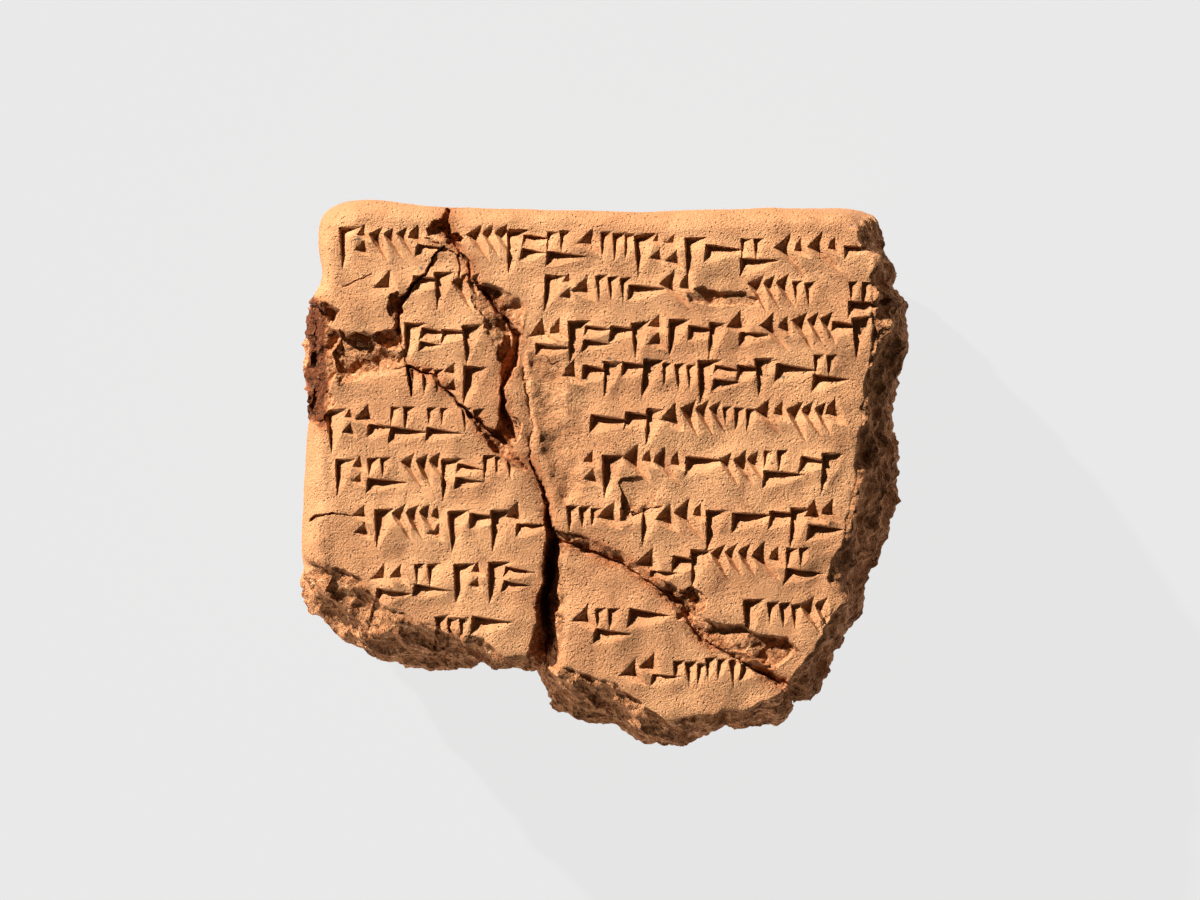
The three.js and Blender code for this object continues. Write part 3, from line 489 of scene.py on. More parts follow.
# Spalls, where the skin has come away: corners, depth and how wide their edge slopes
SPALLS = {
    "join_scar_right": (
        [[-12.2, 18.6], [-9.7, 18.2], [-8.0, 17.0], [-7.4, 15.5], [-8.0, 14.0], [-9.4, 15.2],
         [-10.7, 16.7], [-12.0, 17.8]],
        0.45, 0.7,
    ),
    "join_scar_left": (
        [[-12.4, 17.0], [-11.2, 16.4], [-9.7, 14.8], [-9.2, 13.2], [-9.7, 11.8], [-11.0, 12.2],
         [-11.8, 14.0], [-12.2, 15.5]],
        0.5, 0.8,
    ),
    "centre_wear": (
        [[-7.6, 12.0], [-5.4, 12.5], [-3.6, 9.8], [-2.4, 5.0], [-1.6, 0.0], [-1.6, -3.0],
         [-4.2, -4.2], [-5.4, -1.5], [-6.6, 3.0], [-7.2, 7.0]],
        0.28, 1.3,
    ),
    "flake_slope": (
        [[-27.4, 13.2], [-25.2, 11.8], [-22.2, 10.8], [-19.6, 12.5], [-19.4, 10.4], [-23.2, 9.6],
         [-26.2, 8.2], [-27.2, 9.8]],
        0.8, 1.2,
    ),
    "line_two_scratches": (
        [[7.8, 17.8], [9.8, 18.4], [13.8, 18.0], [16.0, 17.2], [15.4, 16.0], [11.8, 16.4], [8.8, 16.5]],
        0.3, 0.4,
    ),
    "foot_spall": (
        [[8.2, -13.4], [9.8, -14.2], [11.6, -15.2], [14.0, -15.6], [16.3, -16.2], [18.8, -17.0],
         [19.8, -18.2], [17.4, -19.8], [14.8, -19.0], [11.8, -17.8], [10.3, -17.0], [9.0, -15.2]],
        0.5, 0.5,
    ),
    "foot_scar": (
        [[7.0, -11.8], [8.8, -12.0], [10.4, -13.0], [9.8, -14.2], [8.2, -13.6]],
        0.6, 0.4,
    ),
    "recess_rim": (
        [[-27.6, 16.9], [-26.1, 15.9], [-26.9, 14.4], [-25.8, 13.3], [-26.8, 11.6], [-26.2, 9.8],
         [-27.1, 8.3], [-26.6, 6.8], [-27.4, 5.4], [-29.5, 5.4], [-29.5, 17.0]],
        0.9, 0.5,
    ),
    "join_strip": (
        [[-13.2, 5.6], [-11.2, 4.6], [-9.0, 3.0], [-8.0, 0.0], [-9.7, 0.8], [-11.7, 3.0]],
        0.8, 0.6,
    ),
}

# The lower right fragment and the flake at the upper left sit a little low, each bounded by its cracks
FOOT_FRAGMENT = [p[:2] for p in CRACKS["foot_join"]] + [[25, -30], [-5.6, -30]] + [
    p[:2] for p in CRACKS["lower_join"][:-4:-1]]
FRAGMENT_DROP = 0.3
UPPER_FLAKE = [p[:2] for p in CRACKS["flake_edge"] + CRACKS["cross_crack"][:5] + CRACKS["main_join"][::-1]]
FLAKE_DROP = 0.22


def wandering(x, y):
    """x, y with their noises added, so that drawn lines wander as tears do."""
    flat = on_ground(x, y)
    return sum(waves(flat, WANDER_ACROSS), x), sum(waves(flat, WANDER_ALONG), y)


def torn_pit(x, y, deep, corners):
    """Depth of a pit made of flat facets, one between the deep point and each two corners: with
    shares u and v of the way to those corners, (1 - u - v) * deep + u * a + v * b."""
    depth = np.zeros_like(x)
    for a, b in zip(corners, np.roll(corners, -1, axis=0)):
        ax, ay, bx, by = a[0] - deep[0], a[1] - deep[1], b[0] - deep[0], b[1] - deep[1]
        turn = ax * by - ay * bx
        u = ((x - deep[0]) * by - (y - deep[1]) * bx) / turn
        v = ((y - deep[1]) * ax - (x - deep[0]) * ay) / turn
        here = (1 - u - v) * deep[2] + u * a[2] + v * b[2]
        depth = np.where((u >= 0) & (v >= 0) & (u + v <= 1), here, depth)
    return depth


def face_damage(x, y):
    """(depth, rust, raw) at x, y. Each crack is a trough of depth * (1 - (gap / reach)^p), and a worn
    shoulder adds depth * (1 - gap / reach)^2; a hollow is a bowl about a turned, uneven oval; a spall
    is a floor with a sloping edge. Rust is how near an open join is, and raw is where the skin has
    gone."""
    jx, jy = wandering(x, y)
    depth = np.zeros_like(x)
    rust = np.zeros_like(x)
    raw = np.zeros_like(x)
    for name, line in {**CRACKS, **HAIRLINES}.items():
        points = placed(line)
        low, high = points[:, :2].min(0) - CRACK_ROOM, points[:, :2].max(0) + CRACK_ROOM
        near = (x > low[0]) & (x < high[0]) & (y > low[1]) & (y < high[1])
        gap, on_left, (left, right, deep) = along_line(jx[near], jy[near], points)
        reach = np.where(on_left, left, right)
        here = deep * (1 - np.clip(gap / reach, 0, 1) ** BOXY_SECTIONS.get(name, SECTION))
        depth[near] = np.maximum(depth[near], here)
        if name in CRACKS and name not in UNSTAINED:
            stain = smooth_step(STAIN_REACH, 0.0, gap - STAIN_FROM * reach)
            rust[near] = np.maximum(rust[near], stain)
    for line in SHOULDERS.values():
        gap, on_left, (left, right, deep) = along_line(jx, jy, placed(line))
        here = deep * (1 - np.clip(gap / np.where(on_left, left, right), 0, 1)) ** 2
        depth += here
    for hx, hy, long, short, degrees, deep in HOLLOWS.values():
        dx, dy = jx - hx + MIDDLE[0], jy - hy + MIDDLE[1]
        turn = math.radians(degrees)
        a = (dx * math.cos(turn) + dy * math.sin(turn)) / long
        b = (dy * math.cos(turn) - dx * math.sin(turn)) / short
        angle = np.arctan2(b, a)
        uneven = 1 + THREE_LOBES * np.sin(3 * angle + hx) + FIVE_LOBES * np.cos(5 * angle + hy)
        share = np.hypot(a, b) / uneven
        depth = np.maximum(depth, deep * (1 - np.clip(share, 0, 1) ** BOWL_SECTION))
    for deep, corners in TORN_PITS.values():
        depth = np.maximum(depth, torn_pit(jx, jy, placed([deep])[0], placed(corners)))
    for corners, deep, edge in SPALLS.values():
        outline = placed(corners)
        closed = np.vstack([outline, outline[:1]])
        gap, _, _ = along_line(jx, jy, closed)
        here = deep * smooth_step(0, edge, gap) * inside(jx, jy, outline)
        depth = np.maximum(depth, here)
        bare = min(1, deep / FULLY_BARE)
        raw = np.maximum(raw, smooth_step(0, BARE_FROM_EDGE, gap) * inside(jx, jy, outline) * bare)
    raw = np.maximum(raw, smooth_step(*BARE_DEPTHS, depth))
    return depth, rust, raw


# The mesh
CAP_ACROSS = 600  # steps across the written face
CAP_ALONG = 540
SHOULDER_TURN = math.radians(70)
SHOULDER_ROWS = 20
WALL_ROWS = 46
UNDER_ROWS = 40

# Clay pushed up round the strokes
PUSH_SPREAD = 9  # steps of the grid
PUSH_SHARE = 1.15
PUSH_FADE = (0, 25)  # steps in from the face's edge over which it sets in

# The recess in the left flank: middle and half length along y in mm, then level and half height as
# shares of the wall's height, from the face
RECESS_MIDDLE = 10.6
RECESS_HALF_LENGTH = 7.4
RECESS_LEVEL = 0.25
RECESS_HALF_HEIGHT = 0.6
RECESS_DEPTH = 0.6
RECESS_CRISP = 0.8  # the share of the recess that is at full depth
RECESS_FROM = (-24.0, -26.0)  # x where the left flank begins, none and all
DARK_RECESS = (0.3, 0.75)  # shares of the wall's height between which its dark brown, partly stain and partly painted shade, ends

PAINTED_SHADE_FROM = (0.2, 3.2)  # mm down from the face: where the painted shade on the made sides begins, and is darkest
SPALL_ROUGHNESS = 0.8
LEAST_RAW = 0.01  # below this the clay counts as unbroken
LEAST_LENGTH = 1e-9  # added to lengths that divide
RIPPLE_FROM = 0.15  # share of the way in over which the reverse's unevenness sets in

# How far the rim's values are blurred along it, in steps of the grid
CORNER_BLUR = 14
EDGE_BLUR = 16
BREAK_BLUR = 3
REVERSE_BLUR = 22

# Shares of the breaks' raggedness that the face's edge and the girth take, and how far a break's edge
# lies back, in mm
RAGGED_FACE = 0.8
RAGGED_GIRTH = 0.5
BREAK_SET_BACK = 0.1

# Where relief sets in on the flank, in mm down from the face, and where it ends, as shares of the
# whole way down
FLANK_FADE_IN = (0.0, 0.9)
FLANK_FADE_OUT = (0.85, 1.0)
BREAK_FROM = (0.25, 0.75)  # shares of break between which an edge turns from made to broken


def side_stations(stations, count):
    """One side's stations at even steps of its mean length, as straight stretches between them."""
    rows = placed(stations)
    rows[:, 2] -= MIDDLE[0]
    rows[:, 3] -= MIDDLE[1]
    steps = np.diff(rows, axis=0)
    gone = np.hypot(steps[:, 0], steps[:, 1]) + np.hypot(steps[:, 2], steps[:, 3])
    run = np.concatenate([[0], np.cumsum(gone)])
    at = np.arange(count) / count * run[-1]
    return np.stack([np.interp(at, run, rows[:, k]) for k in range(5)], axis=1)


def eased(values, width):
    """A closed run of values, blurred by a bell curve of that width in columns."""
    rates = np.fft.fftfreq(len(values))
    bell = np.exp(-2 * (math.pi * width * rates) ** 2)
    return np.fft.ifft(np.fft.fft(values, axis=0) * bell.reshape(-1, *[1] * (values.ndim - 1)), axis=0).real


def fill_loop(rim, across, along):
    """A four-sided patch from its rim: the blend of head and foot, plus that of right and left,
    less that of the four corners. Indexed [along, across] from the head's right end."""
    head, left = rim[: across + 1], rim[across : across + along + 1]
    foot = rim[across + along : 2 * across + along + 1][::-1]
    right = np.concatenate([rim[2 * across + along :], rim[:1]])[::-1]
    u = np.linspace(0, 1, across + 1)[None, :, None]
    v = np.linspace(0, 1, along + 1)[:, None, None]
    corners = (head[0] * (1 - u) + head[-1] * u) * (1 - v) + (foot[0] * (1 - u) + foot[-1] * u) * v
    return head[None] * (1 - v) + foot[None] * v + right[:, None] * (1 - u) + left[:, None] * u - corners


def rim_places(across, along):
    """The grid index of each rim point of a patch, in the order of the loop."""
    grid = np.arange((across + 1) * (along + 1)).reshape(along + 1, across + 1)
    return np.concatenate([grid[0, :-1], grid[:-1, -1], grid[-1, :0:-1], grid[:0:-1, 0]])


def grid_faces(grid, turned):
    """Two triangles for each cell of a grid of indices."""
    a, b, c, d = grid[:-1, :-1].ravel(), grid[:-1, 1:].ravel(), grid[1:, 1:].ravel(), grid[1:, :-1].ravel()
    if turned:
        b, d = d, b
    return np.concatenate([np.stack([a, b, c], 1), np.stack([a, c, d], 1)])


def outline_columns():
    """Face edge, girth and girth height of each column of the flank, how round its edge is, and its
    way out, one long."""
    sides = [(HEAD_EDGE, CAP_ACROSS, 1.0), (LEFT_EDGE, CAP_ALONG, 0.9), (FOOT_BREAK, CAP_ACROSS, 0.0),
             (RIGHT_BREAK, CAP_ALONG, 0.0)]
    table = np.concatenate([side_stations(s, n) for s, n, _ in sides])
    rounded = eased(np.concatenate([np.full(n, r) for _, n, r in sides]), CORNER_BLUR)
    soft, crisp = eased(table, EDGE_BLUR), eased(table, BREAK_BLUR)
    table = soft * rounded[:, None] + crisp * (1 - rounded[:, None])
    ragged = (1 - rounded) * sum(waves(on_ground(table[:, 2], table[:, 3]), RAGGED_BREAKS))
    out = table[:, 2:4] - table[:, 0:2]
    out /= np.linalg.norm(out, axis=1)[:, None]
    table[:, 0:2] += out * (RAGGED_FACE * ragged - BREAK_SET_BACK * (1 - rounded))[:, None]
    table[:, 2:4] += out * (RAGGED_GIRTH * ragged)[:, None]
    return table, rounded, out


def flank_rows(table, rounded, out):
    """The flank, [row, column]: an arc over the shoulder, a wall that eases out to the girth, and a
    quarter turn in to the reverse edge."""
    face, girth, girth_z = table[:, 0:2], table[:, 2:4], table[:, 4]
    reach = np.linalg.norm(girth - face, axis=1)
    top = face_height(face[:, 0], face[:, 1])
    radius = np.minimum(ARRIS + (SHOULDER - ARRIS) * rounded, WIDEST_SHOULDER * reach)
    turns = np.linspace(0, SHOULDER_TURN, SHOULDER_ROWS + 1)[:, None]
    arc = face + out * (radius * np.sin(turns))[:, :, None]
    arc_z = top - radius * (1 - np.cos(turns))
    down = (np.arange(1, WALL_ROWS + 1) / WALL_ROWS)[:, None]
    wall_out = radius * math.sin(SHOULDER_TURN)
    wall = face + out * (wall_out + (reach - wall_out) * (1 - (1 - down) ** 2))[:, :, None]
    wall_z = arc_z[-1] + (girth_z - arc_z[-1]) * down
    soft = eased(girth, REVERSE_BLUR)
    way = np.roll(soft, -REVERSE_BLUR, axis=0) - np.roll(soft, REVERSE_BLUR, axis=0)
    way /= np.linalg.norm(way, axis=1)[:, None]
    reverse = soft + REVERSE_INSET * np.stack([-way[:, 1], way[:, 0]], axis=1)
    bend = (np.arange(1, UNDER_ROWS + 1) / UNDER_ROWS * math.pi / 2)[:, None]
    inward = (1 - np.cos(bend))[:, :, None]
    under = girth + (reverse - girth) * inward
    under_z = girth_z + (REVERSE_RISE - girth_z) * np.sin(bend)
    place = np.concatenate([arc, wall, under])
    return np.concatenate([place, np.concatenate([arc_z, wall_z, under_z])[:, :, None]], axis=2)


def surface_relief(x, y):
    """(rise, rust, raw, strokes) of the written side at x, y. Its rise is the hand-smoothed skin's
    own unevenness, less sunken fragments, and less the deeper of strokes and damage; strokes is the
    depth of the worn strokes alone."""
    flat = on_ground(x, y)
    damage, rust, raw = face_damage(x, y)
    strokes = stroke_relief(x, y, all_strokes())
    worn = sum(np.maximum(wave, 0) for wave in waves(flat, WORN_STROKES))
    strokes = np.maximum(strokes - worn, 0)
    skin = sum(waves(flat, SMOOTHED_FACE))
    jx, jy = wandering(x, y)
    drop = FRAGMENT_DROP * inside(jx, jy, placed(FOOT_FRAGMENT))
    drop += FLAKE_DROP * inside(jx, jy, placed(UPPER_FLAKE))
    rough = np.zeros_like(x)
    torn = raw > LEAST_RAW
    rough[torn] = broken_clay(np.stack([x, y, face_height(x, y) - damage], axis=1)[torn])
    rise = skin - drop - np.maximum(strokes, damage + SPALL_ROUGHNESS * raw * rough)
    return rise, rust, raw, strokes


def pushed_up(strokes):
    """Clay that the strokes pushed up, as a share of their depth spread out evenly around them. It
    goes to nothing at the face's edge."""
    grid = strokes.reshape(CAP_ALONG + 1, CAP_ACROSS + 1)
    along, across = np.fft.fftfreq(grid.shape[0])[:, None], np.fft.fftfreq(grid.shape[1])[None, :]
    bell = np.exp(-2 * (math.pi * PUSH_SPREAD) ** 2 * (along**2 + across**2))
    spread = np.fft.ifft2(np.fft.fft2(grid) * bell).real
    from_edge = np.minimum(from_ends(grid.shape[0])[:, None], from_ends(grid.shape[1])[None, :])
    return (PUSH_SHARE * spread * smooth_step(*PUSH_FADE, from_edge)).ravel()


def written_face(rim):
    """The face patch's points with all relief, and its rust and raw marks."""
    place = fill_loop(rim[:, :2], CAP_ACROSS, CAP_ALONG).reshape(-1, 2)
    x, y = place[:, 0], place[:, 1]
    rise, rust, raw, strokes = surface_relief(x, y)
    z = face_height(x, y) + rise + pushed_up(strokes)
    return np.stack([x, y, z], axis=1), rust, raw


def tablet_mesh():
    """The closed skin: face patch, flank band at full then half width, and the reverse patch, as
    points, triangles, and the marks raw, rust and painted shade of each point. Painted shade is where
    the made sides and the reverse are painted darker, as shade. Rust is 1 where it is orange and 2 in
    the dark brown of the recess, which is partly the clay's own stain and partly painted shade."""
    table, rounded, out = outline_columns()
    flank = flank_rows(table, rounded, out)
    rim = rim_places(CAP_ACROSS, CAP_ALONG)
    face, face_rust, face_raw = written_face(table[:, :2])
    shoulder = flank[: SHOULDER_ROWS + 1]
    rise, arc_rust, arc_raw, _ = surface_relief(shoulder[:, :, 0].ravel(), shoulder[:, :, 1].ravel())
    arc_rust, arc_raw = arc_rust.reshape(-1, len(table)), arc_raw.reshape(-1, len(table))
    before = shoulder[-1, :, 2].copy()
    shoulder[:, :, 2] += rise.reshape(-1, len(table))
    lower = flank[SHOULDER_ROWS + 1 :]
    shrink = (shoulder[-1, :, 2] - REVERSE_RISE) / (before - REVERSE_RISE)
    lower[:, :, 2] = REVERSE_RISE + (lower[:, :, 2] - REVERSE_RISE) * shrink
    across = np.roll(flank, -1, axis=1) - np.roll(flank, 1, axis=1)
    down = np.gradient(flank, axis=0)
    normal = np.cross(down, across)
    normal /= np.linalg.norm(normal, axis=2)[:, :, None] + LEAST_LENGTH
    gone = np.linalg.norm(np.diff(flank, axis=0), axis=2)
    depth_run = np.concatenate([[np.zeros(len(table))], np.cumsum(gone, axis=0)])
    fade = smooth_step(*FLANK_FADE_IN, depth_run)
    fade = fade * (1 - smooth_step(*FLANK_FADE_OUT, depth_run / depth_run[-1]))
    points = flank.reshape(-1, 3)
    torn = broken_clay(points).reshape(fade.shape)
    worn = sum(waves(points, HANDLED_SIDES)).reshape(fade.shape)
    lip = depth_run / depth_run[SHOULDER_ROWS + WALL_ROWS]
    stray = sum(waves(points, RECESS_STRAYS)).reshape(fade.shape)
    along = (flank[:, :, 1] - RECESS_MIDDLE) / RECESS_HALF_LENGTH
    down_wall = (lip - RECESS_LEVEL) / RECESS_HALF_HEIGHT
    recess = smooth_step(1.0, RECESS_CRISP, np.hypot(along, down_wall) + stray)
    recess = recess * smooth_step(*RECESS_FROM, flank[:, :, 0])
    break_share = np.maximum((1 - rounded)[None, :] * np.ones_like(recess), recess)
    break_share = smooth_step(*BREAK_FROM, break_share)
    push = fade * (torn * break_share + worn * (1 - break_share))
    push -= RECESS_DEPTH * recess * np.sin(math.pi * np.clip(lip, 0, 1)) ** 2
    flank = flank + normal * push[:, :, None]

    full = flank[1 : SHOULDER_ROWS + 1]
    half = flank[SHOULDER_ROWS + 1 :, ::2]
    columns = len(table)
    face_count = len(face)
    full_at = face_count + np.arange(full.shape[0] * columns).reshape(full.shape[0], columns)
    half_at = full_at.size + face_count + np.arange(half.shape[0] * columns // 2).reshape(half.shape[0], -1)
    low_across, low_along = CAP_ACROSS // 2, CAP_ALONG // 2
    loop = half[-1]
    reverse = fill_loop(loop, low_across, low_along)
    i, j = from_ends(low_across + 1) / low_across, from_ends(low_along + 1) / low_along
    share = np.clip(np.minimum(i[None, :], j[:, None]) / REST_SHARE, 0, 1)
    flat = reverse.reshape(-1, 3)
    ripple = sum(waves(flat, REVERSE_SWELLS)).reshape(share.shape) * smooth_step(0, RIPPLE_FROM, share)
    reverse[:, :, 2] = np.maximum(reverse[:, :, 2] * (1 - share) ** 2 + ripple, 0)
    reverse = reverse.reshape(-1, 3)

    low_rim = rim_places(low_across, low_along)
    inner = np.ones(len(reverse), dtype=bool)
    inner[low_rim] = False
    reverse_at = np.empty(len(reverse), dtype=np.int64)
    reverse_at[low_rim] = half_at[-1]
    reverse_at[inner] = half_at[-1, -1] + 1 + np.arange(inner.sum())

    def band(rows):
        return np.concatenate([rows, rows[:, :1]], axis=1)

    fine, coarse = full_at[-1], half_at[0]
    fine_a, fine_b, fine_c = fine[::2], fine[1::2], np.roll(fine[::2], -1)
    coarse_b = np.roll(coarse, -1)
    stitch = np.concatenate([
        np.stack([fine_a, coarse, fine_b], 1),
        np.stack([fine_b, coarse, coarse_b], 1),
        np.stack([fine_b, coarse_b, fine_c], 1),
    ])
    faces = np.concatenate([
        grid_faces(np.arange(face_count).reshape(CAP_ALONG + 1, -1), False),
        grid_faces(band(np.vstack([rim, full_at])), True),
        stitch,
        grid_faces(band(half_at), True),
        grid_faces(reverse_at.reshape(low_along + 1, -1), True),
    ])
    vertices = np.concatenate([face, full.reshape(-1, 3), half.reshape(-1, 3), reverse[inner]])

    def marks(face_mark, flank_mark, reverse_mark):
        return np.concatenate([
            face_mark,
            flank_mark[1 : SHOULDER_ROWS + 1].ravel(),
            flank_mark[SHOULDER_ROWS + 1 :, ::2].ravel(),
            np.full(inner.sum(), reverse_mark),
        ])

    raw = fade * break_share
    raw[: SHOULDER_ROWS + 1] = np.maximum(raw[: SHOULDER_ROWS + 1], arc_raw)
    # The recess's dark brown, partly stain and partly painted shade, counts as rust 2 high on the wall
    rust = (2 - smooth_step(*DARK_RECESS, lip + RECESS_CRISP * stray)) * recess * fade
    rust[: SHOULDER_ROWS + 1] = np.maximum(rust[: SHOULDER_ROWS + 1], arc_rust)
    painted_shade = smooth_step(*PAINTED_SHADE_FROM, depth_run) * (1 - break_share)
    return vertices, faces, {
        "raw": marks(face_raw, raw, 0.0),
        "rust": marks(face_rust, rust, 0.0),
        "painted_shade": marks(np.zeros(face_count), painted_shade, 1.0),
    }


SKIN_TRIANGLES = 192000
CREASE = math.radians(24)  # sharper folds than this are shaded as edges


def placed_in_scene(name, data):
    """An object that shows this mesh, lamp or camera."""
    made = bpy.data.objects.new(name, data)
    bpy.context.scene.collection.objects.link(made)
    return made


def made_mesh(name, vertices, faces, marks):
    """A mesh object in metres, with each mark as a number on its points."""
    mesh = bpy.data.meshes.new(name)
    mesh.vertices.add(len(vertices))
    mesh.vertices.foreach_set("co", (vertices * MM).astype(np.float32).ravel())
    mesh.loops.add(faces.size)
    mesh.loops.foreach_set("vertex_index", faces.astype(np.int32).ravel())
    mesh.polygons.add(len(faces))
    mesh.polygons.foreach_set("loop_start", np.arange(0, faces.size, 3, dtype=np.int32))
    mesh.update(calc_edges=True)
    for mark, values in marks.items():
        mesh.attributes.new(mark, "FLOAT", "POINT").data.foreach_set("value", values.astype(np.float32))
    return placed_in_scene(name, mesh)


def thinned(piece, triangles):
    """The piece with its flattest edges collapsed until that many triangles are left."""
    fewer = piece.modifiers.new("fewer", "DECIMATE")
    fewer.ratio = triangles / len(piece.data.polygons)
    ready = bpy.context.evaluated_depsgraph_get()
    full = piece.data
    piece.data = bpy.data.meshes.new_from_object(piece.evaluated_get(ready))
    piece.modifiers.clear()
    bpy.data.meshes.remove(full)
    piece.data.name = piece.name


tablet = made_mesh("tablet_skin", *tablet_mesh())
thinned(tablet, SKIN_TRIANGLES)
tablet.data.shade_smooth()
tablet.data.set_sharp_from_angle(angle=CREASE)


# Materials


def clay_colour(code):
    """A colour given as sRGB hex, as linear numbers with full cover: ((c + 0.055) / 1.055)^2.4, or
    c / 12.92 in the dark."""
    parts = [int(code[k : k + 2], 16) / 255 for k in (0, 2, 4)]
    return (*[c / 12.92 if c <= 0.04045 else ((c + 0.055) / 1.055) ** 2.4 for c in parts], 1.0)


def add_node(tree, kind, links=None, **settings):
    """Adds one node. Settings are its own fields; links fill its inputs, with a value or a socket."""
    made = tree.nodes.new(kind)
    for field, value in settings.items():
        setattr(made, field, value)
    for key, value in (links or {}).items():
        if isinstance(value, bpy.types.NodeSocket):
            tree.links.new(value, made.inputs[key])
        else:
            made.inputs[key].default_value = value
    return made


# Patterns of the clay: the size of their lumps in mm, then how many finer noises lie on them and how
# strong those are. Levigated clay's own grains are under 0.05 mm, so sand and silt are drawn as coarse
# as they need to show.
PATTERNS = {
    "clouds": (9.0, 4.0, 0.6),
    "patches": (2.6, 4.0, 0.6),
    "lumps": (0.7, 3.0, 0.6),
    "crumbs": (0.6, 4.0, 0.8),
    "sand": (0.32, 4.0, 0.75),
    "silt": (0.19, 2.0, 0.7),
}

# Spots round scattered points: how far apart the points lie, in mm
SPOTS = {"grit": 4.5, "pores": 0.55}

# Coats of colour, each laid over those before it: its colour, the pattern it follows, the value there
# at which it is bare and at which it is full, its share where full, and the mark that it is kept to
CLAY = "CF9060"
DARK_STAIN_AND_SHADE = (1.0, 2.0)  # rust where it is still orange, and where the recess is dark brown, partly stain and partly painted shade
COATS = [
    ("DD9F6C", "clouds", 0.4, 0.62, 1.0, None),
    ("BA7F54", "patches", 0.55, 0.75, 1.0, None),
    # Painted shade: the made sides and the reverse painted browner, standing in for less light on them
    ("AD7549", None, None, None, 0.8, "painted_shade"),
    ("BC7D4E", None, None, None, 0.8, "raw"),
    ("965A30", "patches", 0.4, 0.7, 0.8, "raw"),
    ("A85F33", "patches", 0.3, 0.6, 0.75, "rust"),
    # Dark brown of the left recess: partly the clay's own stain, partly painted shade
    ("6A3414", "rust", *DARK_STAIN_AND_SHADE, 1.0, None),
    ("8A5A36", "sand", 0.54, 0.7, 0.32, None),
    ("F6CFA2", "sand", 0.46, 0.3, 0.22, None),
    ("7A4C2C", "silt", 0.58, 0.72, 0.35, None),
    ("E9B888", "crumbs", 0.56, 0.66, 1.0, "open"),
    ("4A2B17", "crumbs", 0.46, 0.36, 1.0, "raw"),
    ("625A52", "grit", 0.05, 0.03, 0.8, None),
]

# The grain's height, as shares of its step in mm: sand and silt everywhere, lumps that stand higher
# where the clay is torn, and pores sunk where the patches are strong
GRAIN_STEP = 0.18
SAND_RISE = 0.8
SILT_RISE = 0.9
LUMP_RISE = 0.25
TORN_LUMP_RISE = 2.4
PORE_SINK = 0.9
PORE_EDGE = (0.26, 0.12)
PORE_PATCHES = (0.35, 0.5)
CLAY_ROUGHNESS = 0.85
CLAY_SHINE = 0.2


def dried_clay():
    """Fine levigated clay, smoothed by hand on the written face, with shade painted on as a darker
    brown over the made sides and the reverse, torn on the breaks and stained orange where salts came
    up through the joins. In the left recess it is dark brown, partly its own stain and partly painted
    shade. It is matt all over, with a dull grain that only a low light shows."""
    material = bpy.data.materials.new("dried_clay_hand_smoothed")
    material.use_nodes = True
    tree = material.node_tree
    tree.nodes.clear()
    where = add_node(tree, "ShaderNodeTexCoord").outputs["Object"]
    fields = {
        mark: add_node(tree, "ShaderNodeAttribute", attribute_name=mark).outputs["Fac"]
        for mark in ("raw", "rust", "painted_shade")
    }
    for name, (size, finer, strength) in PATTERNS.items():
        fields[name] = add_node(tree, "ShaderNodeTexNoise", {
            "Vector": where, "Scale": 1 / (size * MM), "Detail": finer, "Roughness": strength,
        }).outputs["Fac"]
    for name, apart in SPOTS.items():
        fields[name] = add_node(tree, "ShaderNodeTexVoronoi", {
            "Vector": where, "Scale": 1 / (apart * MM),
        }).outputs["Distance"]
    # Open is raw less the recess's dark brown, partly stain and partly painted shade, which has no pale
    # crumbs
    stain_and_shade_taken = add_node(tree, "ShaderNodeMapRange", {
        "Value": fields["rust"], "From Min": DARK_STAIN_AND_SHADE[0], "From Max": DARK_STAIN_AND_SHADE[1], "To Max": -1.0,
    }, interpolation_type="SMOOTHSTEP").outputs["Result"]
    fields["open"] = add_node(tree, "ShaderNodeMath", {0: fields["raw"], 1: stain_and_shade_taken}).outputs[0]

    body = clay_colour(CLAY)
    for code, pattern, bare, full, cover, mark in COATS:
        if pattern:
            cover = add_node(tree, "ShaderNodeMapRange", {
                "Value": fields[pattern], "From Min": bare, "From Max": full, "To Max": cover,
            }, interpolation_type="SMOOTHSTEP").outputs["Result"]
        if mark:
            cover = add_node(tree, "ShaderNodeMath", {
                0: fields[mark], 1: cover,
            }, operation="MULTIPLY").outputs[0]
        body = add_node(tree, "ShaderNodeMix", {
            0: cover, 6: body, 7: clay_colour(code),
        }, data_type="RGBA").outputs[2]

    pores = add_node(tree, "ShaderNodeMapRange", {
        "Value": fields["pores"], "From Min": PORE_EDGE[0], "From Max": PORE_EDGE[1], "To Max": -PORE_SINK,
    }, interpolation_type="SMOOTHSTEP").outputs["Result"]
    pored = add_node(tree, "ShaderNodeMapRange", {
        "Value": fields["patches"], "From Min": PORE_PATCHES[0], "From Max": PORE_PATCHES[1],
    }, interpolation_type="SMOOTHSTEP").outputs["Result"]
    height = add_node(tree, "ShaderNodeMath", {0: pores, 1: pored}, operation="MULTIPLY").outputs[0]
    lump_rise = add_node(tree, "ShaderNodeMath", {
        0: fields["raw"], 1: TORN_LUMP_RISE, 2: LUMP_RISE,
    }, operation="MULTIPLY_ADD").outputs[0]
    for pattern, rise in (("sand", SAND_RISE), ("silt", SILT_RISE), ("lumps", lump_rise)):
        height = add_node(tree, "ShaderNodeMath", {
            0: fields[pattern], 1: rise, 2: height,
        }, operation="MULTIPLY_ADD").outputs[0]
    bump = add_node(tree, "ShaderNodeBump", {"Height": height, "Strength": 1.0, "Distance": GRAIN_STEP * MM})
    shader = add_node(tree, "ShaderNodeBsdfPrincipled", {
        "Base Color": body,
        "Roughness": CLAY_ROUGHNESS,
        "Specular IOR Level": CLAY_SHINE,
        "Normal": bump.outputs["Normal"],
    })
    add_node(tree, "ShaderNodeOutputMaterial", {"Surface": shader.outputs["BSDF"]})
    return material


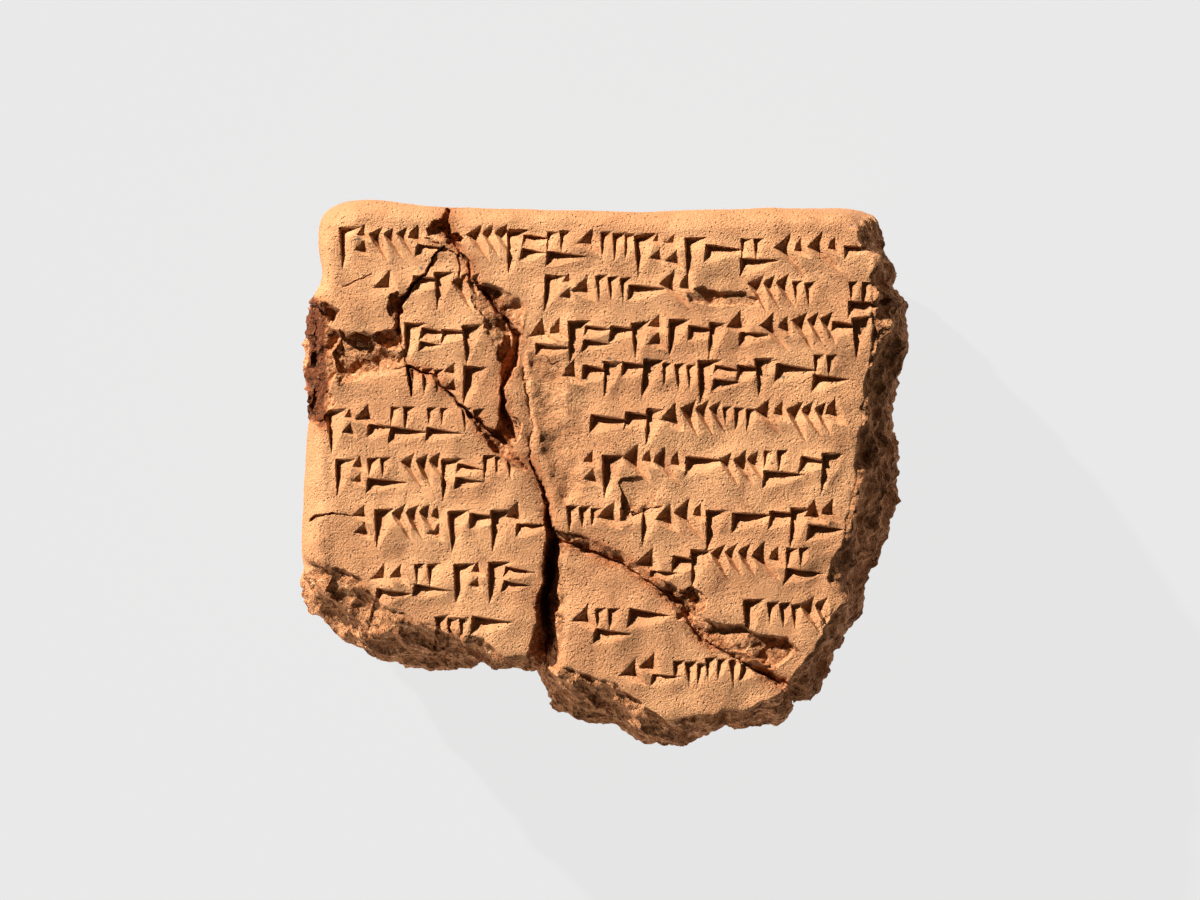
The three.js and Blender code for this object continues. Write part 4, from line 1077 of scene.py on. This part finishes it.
tablet.data.materials.append(dried_clay())
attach(tablet, "root")
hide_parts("tablet")


# The floor, the light and the camera
FACE_LEVEL = 22.5 * MM  # the height that the picture's scale is taken at
PICTURE_WIDTH = 120.0 * MM
CAMERA_LIFT = 0.5  # metres above the face
CAMERA_OVER = (-0.17 * MM, 1.9 * MM)  # the place it looks straight down on
SENSOR_WIDTH = 36.0
NEAREST_SEEN = 0.01
FLOOR_REACH = 3.0  # metres from the middle
FLOOR_GREY = 0.03
FLOOR_GLOW = 0.78


def pale_floor():
    """A matt sheet lit mostly from behind, so that shadows on it are faint."""
    mesh = bpy.data.meshes.new("floor")
    reach = FLOOR_REACH
    corners = [(-reach, -reach, 0), (reach, -reach, 0), (reach, reach, 0), (-reach, reach, 0)]
    mesh.from_pydata(corners, [], [(0, 1, 2, 3)])
    floor = placed_in_scene("floor", mesh)
    material = bpy.data.materials.new("floor_lit_sheet")
    material.use_nodes = True
    tree = material.node_tree
    tree.nodes.clear()
    matt = add_node(tree, "ShaderNodeBsdfDiffuse", {"Color": (*[FLOOR_GREY] * 3, 1)})
    lit = add_node(tree, "ShaderNodeEmission", {"Color": (1, 1, 1, 1), "Strength": FLOOR_GLOW})
    sheet = add_node(tree, "ShaderNodeAddShader", {0: matt.outputs[0], 1: lit.outputs[0]})
    add_node(tree, "ShaderNodeOutputMaterial", {"Surface": sheet.outputs[0]})
    mesh.materials.append(material)
    floor.visible_diffuse = False
    return floor


pale_floor()

KEY_TURN = math.radians(180 + 42)  # from the head, and to its left
KEY_HEIGHT = math.radians(22.5)
KEY_STRENGTH = 9.1
KEY_BLUR = math.radians(1.5)  # how wide the lamp is seen from the tablet
LOW_TURN = math.radians(-50)  # from the foot and the left
LOW_HEIGHT = math.radians(6)
LOW_STRENGTH = 1.15
LOW_BLUR = math.radians(12)
FILL_LOW = 1.4  # from the low walls of the studio, which reaches the flanks
FILL_HIGH = 0.03  # from above, which reaches into the strokes
FILL_EDGES = (-0.1, 0.2)  # the sky's heights between which the one fades to the other
FILL_COLOUR = (1.0, 0.93, 0.84, 1)


def far_lamp(name, strength, blur, height, turn):
    """A lamp so far off that its light is parallel. It stands that high over the ground, at the foot
    when the turn is nothing."""
    lamp = placed_in_scene(name, bpy.data.lights.new(name, "SUN"))
    lamp.data.energy = strength
    lamp.data.angle = blur
    lamp.rotation_euler = (math.pi / 2 - height, 0, turn)


far_lamp("key_light", KEY_STRENGTH, KEY_BLUR, KEY_HEIGHT, KEY_TURN)
far_lamp("low_light", LOW_STRENGTH, LOW_BLUR, LOW_HEIGHT, LOW_TURN)

world = bpy.data.worlds.new("studio")
world.use_nodes = True
sky = world.node_tree
upward = add_node(sky, "ShaderNodeSeparateXYZ", {
    "Vector": add_node(sky, "ShaderNodeTexCoord").outputs["Generated"],
}).outputs["Z"]
fill = add_node(sky, "ShaderNodeMapRange", {
    "Value": upward,
    "From Min": FILL_EDGES[0],
    "From Max": FILL_EDGES[1],
    "To Min": FILL_LOW,
    "To Max": FILL_HIGH,
}).outputs["Result"]
sky.nodes["Background"].inputs["Color"].default_value = FILL_COLOUR
sky.links.new(fill, sky.nodes["Background"].inputs["Strength"])
bpy.context.scene.world = world
bpy.context.scene.view_settings.view_transform = "Standard"

camera = placed_in_scene("camera", bpy.data.cameras.new("camera"))
camera.location = (*CAMERA_OVER, FACE_LEVEL + CAMERA_LIFT)
camera.data.sensor_width = SENSOR_WIDTH
camera.data.lens = SENSOR_WIDTH * CAMERA_LIFT / PICTURE_WIDTH
camera.data.clip_start = NEAREST_SEEN
bpy.context.scene.camera = camera
